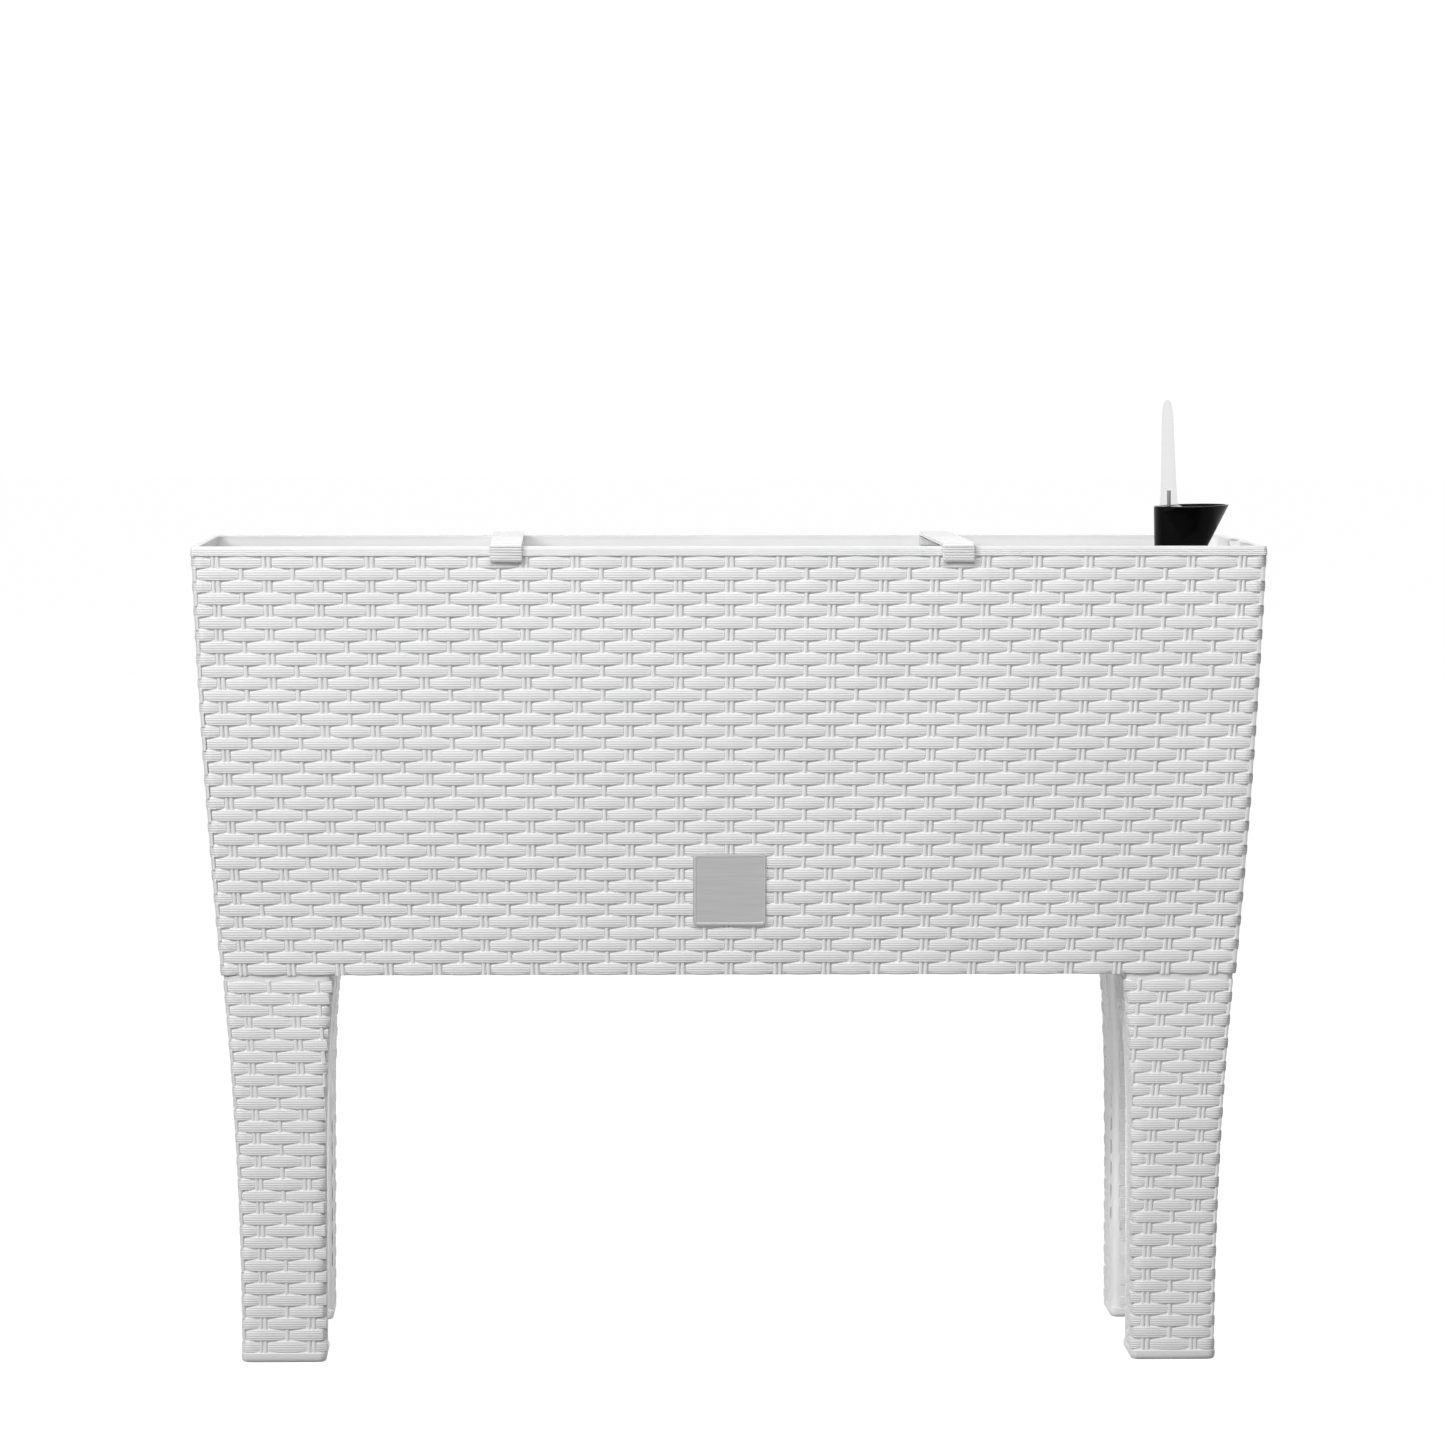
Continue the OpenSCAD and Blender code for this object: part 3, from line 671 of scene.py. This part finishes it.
# Aluminium, pressed and satin anodised: a dull silver sheen with a very fine brushed grain along X.
# The real grain is near 0.1 mm; it is drawn coarser so that it shows.
anodised, tree = blank_material("satin_anodised_aluminium")
where = add(tree, "ShaderNodeTexCoord").outputs["Object"]
brush_scale = (1 / brush_length, 1 / brush_depth, 1 / brush_width)
along = add(tree, "ShaderNodeMapping", {"Vector": where, "Scale": brush_scale})
brush = add(tree, "ShaderNodeTexNoise", {"Vector": along.outputs[0], "Scale": 1, "Detail": 3})
tint = add(tree, "ShaderNodeValToRGB", {"Fac": brush.outputs["Fac"]},
           stops=((0, "#9C9C9D"), (1, "#B0B0B0")))
gloss = add(tree, "ShaderNodeMapRange", {"Value": brush.outputs["Fac"], "To Min": 0.4, "To Max": 0.55})
metal = add(tree, "ShaderNodeBsdfPrincipled", {"Base Color": tint.outputs[0], "Roughness": gloss.outputs[0],
                                               "Metallic": 0.85})
add(tree, "ShaderNodeOutputMaterial", {"Surface": metal.outputs[0]})

# Rings of the plate from its back to its face: the inset from its edge, and the drop from its highest level.
badge_profile = ((0, badge_thick), (0, 0.7 * mm), (0.25 * mm, 0.2 * mm), (0.7 * mm, 0), (1.5 * mm, 0),
                 (1.9 * mm, 0.3 * mm))
badge_rings = []
for inset, drop in badge_profile:
    half = badge_side / 2 - inset
    corner = max(badge_corner - inset, badge_inner_corner)
    badge_rings.append(rounded_ring(-half, half, -half, half, corner, badge_thick - drop))
badge = loft("badge_plate", badge_rings, smooth_angle=25)
skin_y = -(crest_half(badge_z)[1] - weave_relief)
badge.transform(Matrix.Translation((0, skin_y, badge_z)) @ Matrix.Rotation(math.pi / 2 + badge_lean, 4, "X"))
place("badge_plate_bare", badge, anodised, "planter", "badge_silver", "badge_plate")


# The four legs: hollow swept mouldings in the same polypropylene, flared at the top, with the same weave
# on their two outer faces, fading round the corners to a faint print on the inner faces, and a plain foot
# band. Two screws through the floor of the box hold each of them.
leg_width = 63 * mm
foot_width = 48 * mm
leg_depth = 58 * mm
foot_depth = 52 * mm
leg_sweep_x = 10.2 * mm
leg_sweep_y = 3 * mm
leg_inset = 0.6 * mm
leg_wall = 3 * mm
leg_flare = 0.42
leg_relief = 1.5 * mm
foot_band = 5.5 * mm
leg_corner = 4.5 * mm
foot_corner = 4.5 * mm
leg_top_x = rim_half_x - end_taper - leg_inset
leg_top_y = rim_half_y - side_taper - leg_inset
leg_rows = 32
leg_row_pitch = 6.53 * mm
leg_strand_pitch = 27.2 * mm
leg_columns = 10
leg_levels = 18
leg_top = 4 * mm
leg_print = 0.25
print_start = 4 * mm
print_fade = 8 * mm
weave_stop = 0.2 * mm


def leg_reach(z):
    """Outer and inner face of a leg's crests in X and in Y, away from the middle of the planter."""
    t = 1 - z / box_bottom
    swept = 1 - (1 - t) ** 2
    flared = np.maximum(0, 1 - t / leg_flare) ** 2
    outer_x = leg_top_x - leg_sweep_x * swept
    outer_y = leg_top_y - leg_sweep_y * swept
    inner_x = leg_top_x - leg_sweep_x - foot_width - (leg_width - leg_sweep_x - foot_width) * flared
    inner_y = leg_top_y - leg_sweep_y - foot_depth - (leg_depth - leg_sweep_y - foot_depth) * flared
    return outer_x, inner_x, outer_y, inner_y


def leg_outline(z, inset, inner_inset, side_x, side_y):
    """Lowest and highest X and Y of a leg at a height, set in from its woven and from its plain faces."""
    outer_x, inner_x, outer_y, inner_y = leg_reach(z)
    outer_x, inner_x = side_x * (outer_x - inset), side_x * (inner_x + inner_inset)
    outer_y, inner_y = side_y * (outer_y - inset), side_y * (inner_y + inner_inset)
    low_x, high_x = (inner_x, outer_x) if side_x > 0 else (outer_x, inner_x)
    low_y, high_y = (inner_y, outer_y) if side_y > 0 else (outer_y, inner_y)
    return low_x, high_x, low_y, high_y


# Rings of the foot, as an inset in millimetres and a height.
foot_rings = ((0.5, foot_band), (0, foot_band - 0.5 * mm), (0, 2.6 * mm), (0.3, 1.4 * mm), (0.9, 0.5 * mm),
              (2, 0), (3.6, 0))
# Each leg's side along X and along Y, its corner, and how far its inner faces stand in.
legs = (
    ("front_right", 1, -1, 0, 1 * mm),
    ("rear_right", 1, 1, 1, 3.4 * mm),
    ("rear_left", -1, 1, 2, 2.5 * mm),
    ("front_left", -1, -1, 3, 1 * mm),
)
for name, side_x, side_y, corner, inner_inset in legs:
    rings = []
    heights = [box_bottom - (box_bottom - foot_band) * i / leg_levels for i in range(leg_levels + 1)]
    for z in heights:
        outline = leg_outline(z, leg_relief - groove_floor, inner_inset, side_x, side_y)
        rings.append(rounded_ring(*outline, leg_corner, z))
    for inset, z in foot_rings:
        outline = leg_outline(z, inset * mm, inner_inset + (inset - 1) * mm, side_x, side_y)
        rings.append(rounded_ring(*outline, foot_corner - min(inset, 1) * mm, z))
    for z in heights[:0:-1] + [box_bottom - leg_top]:
        outline = leg_outline(z, leg_relief + leg_wall, inner_inset + leg_wall, side_x, side_y)
        rings.append(rounded_ring(*outline, leg_corner, z))
    shell = loft("leg_shell", rings)
    place("leg_shell_" + name, shell, polypropylene, "planter", "leg_white", "leg_" + name)

    reaches = []
    for z in (box_bottom, foot_band):
        low_x, high_x, low_y, high_y = leg_outline(z, leg_relief, inner_inset, side_x, side_y)
        reaches.append((high_x - low_x + high_y - low_y) / leg_strand_pitch * strand_pitch)
    loss = (reaches[0] - reaches[1]) / leg_rows
    mesh, flat = weave_sheet("weave_leg_" + name, {
        "Columns": leg_columns, "Rows": leg_rows, "First Row Single": 1, "Left Reach": reaches[0],
        "Left Loss": loss, "Right Reach": reaches[0], "Right Loss": loss})
    u = flat[:, 0] / strand_pitch
    z = foot_band + (flat[:, 1] / row_pitch + leg_rows / 2) * leg_row_pitch
    z = np.clip(z, foot_band, box_bottom - weave_stop)
    outline = leg_outline(z, leg_relief, inner_inset, side_x, side_y)
    lengths = (outline[1] - outline[0], outline[3] - outline[2])
    half_round = lengths[0] + lengths[1] - leg_corner
    away = np.abs(u)
    s = np.where(away < 0.5, corner_squeeze * away, away - (1 - corner_squeeze) / 2) * leg_strand_pitch
    s = np.sign(u) * np.minimum(s, half_round)
    left, right = (0, 1) if corner % 2 == 0 else (1, 0)
    beyond = np.abs(s) - np.where(s < 0, lengths[left], lengths[right])
    faint = np.clip((beyond - print_start) / print_fade, 0, 1)
    rise = flat[:, 2] * leg_relief / weave_relief
    rise = np.where(rise > 0, rise * (1 - (1 - leg_print) * faint), rise)
    points = wrapped(s, z, rise, outline, corner, leg_corner)
    place("weave_leg_" + name, shaped(mesh, points), polypropylene, "planter", "leg_white")

for item in (strand, post_pair, single_post):
    bpy.data.objects.remove(item)


# The screws and sealing washers: eight zinc-plated pan-head screws go down through rubber washers on the
# floor of the box into the bosses of the legs.
def dress(material, *nodes):
    """Gives a material to nodes whose shape is already right."""
    for node in nodes:
        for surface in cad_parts[node].material_slots:
            surface.material = material


# Steel, zinc plated: pale bluish grey, bright, with faint cloudy patches from the plating bath.
cloud_size = 4 * mm
zinc, tree = blank_material("zinc_plated_steel")
where = add(tree, "ShaderNodeTexCoord").outputs["Object"]
cloud = add(tree, "ShaderNodeTexNoise", {"Vector": where, "Scale": 1 / cloud_size, "Detail": 4})
tint = add(tree, "ShaderNodeValToRGB", {"Fac": cloud.outputs["Fac"]},
           stops=((0, "#A9AEB4"), (1, "#C6CACD")))
gloss = add(tree, "ShaderNodeMapRange", {"Value": cloud.outputs["Fac"], "To Min": 0.25, "To Max": 0.42})
metal = add(tree, "ShaderNodeBsdfPrincipled", {"Base Color": tint.outputs[0], "Roughness": gloss.outputs[0],
                                               "Metallic": 1.0})
add(tree, "ShaderNodeOutputMaterial", {"Surface": metal.outputs[0]})
dress(zinc, "leg_screws")

# Nitrile rubber, moulded: black and dull with a dusty bloom.
bloom_size = 3 * mm
rubber, tree = blank_material("black_nitrile_rubber")
where = add(tree, "ShaderNodeTexCoord").outputs["Object"]
bloom = add(tree, "ShaderNodeTexNoise", {"Vector": where, "Scale": 1 / bloom_size, "Detail": 5})
tint = add(tree, "ShaderNodeValToRGB", {"Fac": bloom.outputs["Fac"]},
           stops=((0, "#202022"), (1, "#343436")))
bump = add(tree, "ShaderNodeBump", {"Height": bloom.outputs["Fac"], "Strength": 0.2, "Distance": 0.2 * mm})
skin = add(tree, "ShaderNodeBsdfPrincipled", {"Base Color": tint.outputs[0], "Roughness": 0.75, "IOR": 1.52,
                                              "Normal": bump.outputs[0]})
add(tree, "ShaderNodeOutputMaterial", {"Surface": skin.outputs[0]})
dress(rubber, "screw_washers")


# The separator plate: a black moulded tray that stands on eight posts over the water, slotted so that
# water drains down through it and air comes up.
# Polypropylene, black, moulded: semi-gloss, with a fine spark-eroded grain that breaks up the highlights.
spark_size = 0.9 * mm
patch_size = 18 * mm
black_plastic, tree = blank_material("black_moulded_polypropylene")
where = add(tree, "ShaderNodeTexCoord").outputs["Object"]
grain = add(tree, "ShaderNodeTexNoise", {"Vector": where, "Scale": 1 / spark_size, "Detail": 3})
patch = add(tree, "ShaderNodeTexNoise", {"Vector": where, "Scale": 1 / patch_size, "Detail": 2})
tint = add(tree, "ShaderNodeValToRGB", {"Fac": patch.outputs["Fac"]},
           stops=((0, "#020202"), (1, "#060606")))
gloss = add(tree, "ShaderNodeMapRange", {"Value": patch.outputs["Fac"], "To Min": 0.2, "To Max": 0.3})
bump = add(tree, "ShaderNodeBump", {"Height": grain.outputs["Fac"], "Strength": 0.1, "Distance": 0.1 * mm})
skin = add(tree, "ShaderNodeBsdfPrincipled", {"Base Color": tint.outputs[0], "Roughness": gloss.outputs[0],
                                              "IOR": 1.49, "Specular IOR Level": 0.09,
                                              "Normal": bump.outputs[0]})
add(tree, "ShaderNodeOutputMaterial", {"Surface": skin.outputs[0]})
dress(black_plastic, "separator_plate")


# The four wicks: plugs of needled felt that hang through the plate into the water and feed the soil.
# Felt, needled polyester: dark grey, matt, with a tangle of pale and dark fibres and a soft fuzz.
fibre_size = 1.2 * mm
felt, tree = blank_material("needled_polyester_felt")
where = add(tree, "ShaderNodeTexCoord").outputs["Object"]
fibre = add(tree, "ShaderNodeTexNoise", {"Vector": where, "Scale": 1 / fibre_size, "Detail": 6,
                                            "Distortion": 2})
tint = add(tree, "ShaderNodeValToRGB", {"Fac": fibre.outputs["Fac"]},
           stops=((0.35, "#55585A"), (0.7, "#8C8F90")))
bump = add(tree, "ShaderNodeBump", {"Height": fibre.outputs["Fac"], "Strength": 0.7, "Distance": 0.6 * mm})
skin = add(tree, "ShaderNodeBsdfPrincipled", {"Base Color": tint.outputs[0], "Roughness": 0.95,
                                              "Sheen Weight": 0.3, "Normal": bump.outputs[0]})
add(tree, "ShaderNodeOutputMaterial", {"Surface": skin.outputs[0]})
dress(felt, "wick_front_left", "wick_front_right", "wick_rear_left", "wick_rear_right")


# The drain plug and its gasket: a grey moulded stopper pushed up into the floor from below.
# Thermoplastic rubber, moulded: mid grey, matt, with a faint mottle.
stopper_mottle = 5 * mm
stopper, tree = blank_material("grey_thermoplastic_rubber")
where = add(tree, "ShaderNodeTexCoord").outputs["Object"]
mottle = add(tree, "ShaderNodeTexNoise", {"Vector": where, "Scale": 1 / stopper_mottle, "Detail": 4})
tint = add(tree, "ShaderNodeValToRGB", {"Fac": mottle.outputs["Fac"]},
           stops=((0, "#77797B"), (1, "#8B8D8E")))
bump = add(tree, "ShaderNodeBump", {"Height": mottle.outputs["Fac"], "Strength": 0.15, "Distance": 0.2 * mm})
skin = add(tree, "ShaderNodeBsdfPrincipled", {"Base Color": tint.outputs[0], "Roughness": 0.62, "IOR": 1.5,
                                              "Normal": bump.outputs[0]})
add(tree, "ShaderNodeOutputMaterial", {"Surface": skin.outputs[0]})
dress(stopper, "drain_plug")
dress(rubber, "drain_gasket")


# The filler tube and its strainer foot: an extruded black tube that stands on the floor and passes up
# through the separator plate, with slots at its foot that let the water out.
dress(black_plastic, "filler_tube", "tube_strainer")


# The funnel: a glossy black moulding on top of the tube. Its left half is a closed deck that carries the
# level indicator, and its right half is the pouring mouth, which flares out into a spout.
funnel_low, funnel_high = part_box("funnel")
capsule_low, capsule_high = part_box("indicator_capsule")
tube_r = 13 * mm
tube_x = funnel_low.x + tube_r
spout_r = 20 * mm
spout_x = funnel_high.x - spout_r
spout_foot_r = 2.9 * mm
funnel_wall = 1.6 * mm
funnel_flare = 32 * mm
funnel_edge = 0.5 * mm
funnel_levels = 10
funnel_sides = 72
cut_lap = 1 * mm
funnel_top = funnel_high.z
neck_z = funnel_top - funnel_flare
capsule_r = 4.8 * mm
stem_x = (capsule_low.x + capsule_high.x) / 2
deck_margin = 1.5 * mm
deck_edge = stem_x + capsule_r + deck_margin
deck_thick = 3 * mm
guide_r = 3.75 * mm
funnel_lean = math.radians(1.1)
funnel_nod = math.radians(1.3)
leaning = (Matrix.Translation((tube_x, 0, funnel_top)) @ Matrix.Rotation(-funnel_lean, 4, "Y")
           @ Matrix.Rotation(funnel_nod, 4, "X") @ Matrix.Translation((-tube_x, 0, -funnel_top)))


def funnel_ring(z, inset, clip=None):
    """A ring round the tube and the flaring spout together, set in by a wall and cut off at clip."""
    rise = (z - neck_z) / (funnel_top - neck_z)
    flare = spout_foot_r + (spout_r - spout_foot_r) * rise
    ring = []
    for i in range(funnel_sides):
        angle = 2 * math.pi * i / funnel_sides
        c, s = math.cos(angle), math.sin(angle)
        x, radius = max(((tube_x, tube_r), (spout_x, flare)), key=lambda part: part[0] * c + part[1])
        x = x + (radius - inset) * c
        if clip is not None:
            x = max(x, clip)
        ring.append((x, (radius - inset) * s, z))
    return ring


funnel_heights = [neck_z + (funnel_top - neck_z) * i / funnel_levels for i in range(funnel_levels + 1)]
funnel_rings = [funnel_ring(z, 0) for z in funnel_heights[:-1]]
funnel_rings += [funnel_ring(funnel_top - funnel_edge, 0), funnel_ring(funnel_top, funnel_edge)]
hollow_top = funnel_top - deck_thick
hollow_heights = [neck_z - cut_lap] + funnel_heights[1:-1] + [hollow_top]
hollow_rings = [funnel_ring(z, funnel_wall) for z in hollow_heights]
mouth_rings = [funnel_ring(z, funnel_wall, clip=deck_edge)
               for z in (hollow_top - cut_lap, funnel_top + cut_lap)]
funnel_body = loft("funnel", funnel_rings)
hollow = loft("funnel_hollow", hollow_rings)
mouth = loft("funnel_mouth", mouth_rings)
guide = round_bar("stem_guide", stem_x, hollow_top - cut_past, funnel_top + cut_past, guide_r)
funnel_cup = carved(funnel_body, [hollow, mouth, guide])
funnel_cup.transform(leaning)
place("funnel_cup", funnel_cup, black_plastic, "watering_unit", "watering_black", "funnel")


# The indicator capsule: a thin frosted cover over the top of the float's stem, turned to a blunt point
# and pushed into the deck of the funnel.
capsule_shoulder = 0.72
capsule_straight = 0.78
capsule_extra = 2.2 * mm
capsule_height = capsule_high.z - funnel_top + capsule_extra
capsule_foot = 0.5 * mm
capsule_fit = 0.2 * mm
capsule_tip = 0.05 * mm
capsule_foot_fade = 8
capsule_point_round = 0.8
straight_levels = 8
point_levels = 11

# Polypropylene, unpigmented and thin: milky, lets light through, and blurs what stands behind it.
haze_size = 6 * mm
milky, tree = blank_material("frosted_natural_polypropylene")
where = add(tree, "ShaderNodeTexCoord").outputs["Object"]
haze = add(tree, "ShaderNodeTexNoise", {"Vector": where, "Scale": 1 / haze_size, "Detail": 3})
tint = add(tree, "ShaderNodeValToRGB", {"Fac": haze.outputs["Fac"]},
           stops=((0, "#8E9090"), (1, "#9C9E9E")))
gloss = add(tree, "ShaderNodeMapRange", {"Value": haze.outputs["Fac"], "To Min": 0.25, "To Max": 0.4})
skin = add(tree, "ShaderNodeBsdfPrincipled", {"Base Color": tint.outputs[0], "Roughness": gloss.outputs[0],
                                              "IOR": 1.3, "Alpha": 0.13})
add(tree, "ShaderNodeOutputMaterial", {"Surface": skin.outputs[0]})

straight = capsule_height * capsule_straight
capsule_rings = [turned_ring(stem_x, guide_r - capsule_fit, z) for z in (capsule_low.z, funnel_top)]
for step in range(straight_levels + 1):
    share = step / straight_levels
    flare = capsule_foot * (1 - share) ** capsule_foot_fade
    r = capsule_r * (1 - (1 - capsule_shoulder) * share) + flare
    capsule_rings.append(turned_ring(stem_x, r, funnel_top + straight * share))
for step in range(1, point_levels + 1):
    angle = math.pi / 2 * step / point_levels
    r = max(capsule_r * capsule_shoulder * math.cos(angle) ** capsule_point_round, capsule_tip)
    z = funnel_top + straight + (capsule_height - straight) * math.sin(angle)
    capsule_rings.append(turned_ring(stem_x, r, z))
cover = loft("indicator_cover", capsule_rings, smooth_angle=60)
cover.transform(leaning)
place("indicator_cover", cover, milky, "watering_unit", "capsule_clear", "indicator_capsule")


# The float and its stem: a foam float in the tube lifts a thin grey rod, whose top shows the water level
# inside the capsule.
# Polystyrene rod, extruded: mid grey, satin, with faint drawing lines along it.
line_width = 0.4 * mm
line_length = 30 * mm
grey_rod, tree = blank_material("grey_extruded_polystyrene")
where = add(tree, "ShaderNodeTexCoord").outputs["Object"]
line_scale = (1 / line_width, 1 / line_width, 1 / line_length)
drawn = add(tree, "ShaderNodeMapping", {"Vector": where, "Scale": line_scale})
line = add(tree, "ShaderNodeTexNoise", {"Vector": drawn.outputs[0], "Scale": 1, "Detail": 2})
tint = add(tree, "ShaderNodeValToRGB", {"Fac": line.outputs["Fac"]},
           stops=((0, "#828384"), (1, "#949596")))
skin = add(tree, "ShaderNodeBsdfPrincipled", {"Base Color": tint.outputs[0], "Roughness": 0.45, "IOR": 1.59})
add(tree, "ShaderNodeOutputMaterial", {"Surface": skin.outputs[0]})
dress(grey_rod, "float_stem")

# Polyethylene foam, closed cell: off-white, dull, pitted with cut cells about 1 mm across.
cell_size = 1 * mm
foam, tree = blank_material("closed_cell_polyethylene_foam")
where = add(tree, "ShaderNodeTexCoord").outputs["Object"]
cells = add(tree, "ShaderNodeTexVoronoi", {"Vector": where, "Scale": 1 / cell_size})
# The colour darkens towards the middle of each cell, where the bump sinks the pit lowest: painted shade in
# the pits.
tint = add(tree, "ShaderNodeValToRGB", {"Fac": cells.outputs["Distance"]},
           stops=((0, "#D2D1CB"), (1, "#EEEDE8")))
bump = add(tree, "ShaderNodeBump", {"Height": cells.outputs["Distance"], "Strength": 0.4,
                                    "Distance": 0.3 * mm})
skin = add(tree, "ShaderNodeBsdfPrincipled", {"Base Color": tint.outputs[0], "Roughness": 0.9, "IOR": 1.4,
                                              "Normal": bump.outputs[0]})
add(tree, "ShaderNodeOutputMaterial", {"Surface": skin.outputs[0]})
dress(foam, "float_body")


# The two cross braces: white moulded straps that hook over the front and back rims and keep the long
# walls from bowing. The tab outside each rim has five fine grip grooves.
brace_width = 18 * mm
brace_thick = 2.2 * mm
tab_gap = 0.4 * mm
tab_drop = 8.6 * mm
hook_drop = 5.5 * mm
grip_grooves = 5
grip_pitch = 1.5 * mm
grip_depth = 0.9 * mm
grip_start = 0.35 * mm
grip_middle = 0.8 * mm
grip_end = 1.2 * mm
tab_round = 2 * mm
tab_bevel = 0.9 * mm
tab_bevel_height = 1.3 * mm
brace_edge = 0.5 * mm
brace_bodies = {"brace_left": "left_brace", "brace_right": "right_brace"}

# Polypropylene, moulded in a polished mould: white and smooth, glossier than the box.
flow_size = 20 * mm
smooth_white, tree = blank_material("polished_white_polypropylene")
where = add(tree, "ShaderNodeTexCoord").outputs["Object"]
flow = add(tree, "ShaderNodeTexNoise", {"Vector": where, "Scale": 1 / flow_size, "Detail": 3})
tint = add(tree, "ShaderNodeValToRGB", {"Fac": flow.outputs["Fac"]},
           stops=((0, "#E7E7E8"), (1, "#ECECEC")))
gloss = add(tree, "ShaderNodeMapRange", {"Value": flow.outputs["Fac"], "To Min": 0.1, "To Max": 0.16})
skin = add(tree, "ShaderNodeBsdfPrincipled", {"Base Color": tint.outputs[0], "Roughness": gloss.outputs[0],
                                              "IOR": 1.49})
add(tree, "ShaderNodeOutputMaterial", {"Surface": skin.outputs[0]})

tab_in = rim_half_y + tab_gap
tab_out = tab_in + brace_thick
tab_foot = rim_top - tab_drop
strap_top = rim_top + brace_thick
hook_out = rim_half_y - rim_width - tab_gap
hook_in = hook_out - brace_thick
hook_foot = rim_top - hook_drop

# Half of the brace's side view, from the middle of the strap's top to the middle of its underside.
half_view = [(0, strap_top)]
for step in range(7):
    angle = math.radians(15 * step)
    y = tab_out - tab_round * (1 - math.sin(angle))
    half_view.append((y, strap_top - tab_round * (1 - math.cos(angle))))
for groove in range(grip_grooves):
    z = strap_top - tab_round - groove * grip_pitch
    half_view += [(tab_out, z - grip_start), (tab_out - grip_depth, z - grip_middle),
                  (tab_out, z - grip_end)]
half_view += [(tab_out, tab_foot + tab_bevel_height), (tab_out - tab_bevel, tab_foot), (tab_in, tab_foot),
              (tab_in, rim_top), (hook_out, rim_top), (hook_out, hook_foot), (hook_in, hook_foot),
              (hook_in, rim_top), (0, rim_top)]
brace_view = half_view + [(-y, z) for y, z in reversed(half_view[1:-1])]
for node, body in brace_bodies.items():
    rings = []
    brace_low, brace_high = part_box(node)
    middle_x = (brace_low.x + brace_high.x) / 2
    for share, inset in ((-1, brace_edge), (-1 + 2 * brace_edge / brace_width, 0),
                         (1 - 2 * brace_edge / brace_width, 0), (1, brace_edge)):
        x = middle_x + share * brace_width / 2
        ring = []
        for y, z in brace_view:
            shrink = inset if abs(y) > tab_in else 0
            ring.append((x, y - math.copysign(shrink, y), z - (inset if z > rim_top else 0)))
        rings.append(ring)
    place(node + "_strap", loft(node, rings, smooth_angle=30), smooth_white, body, "brace_white", node)
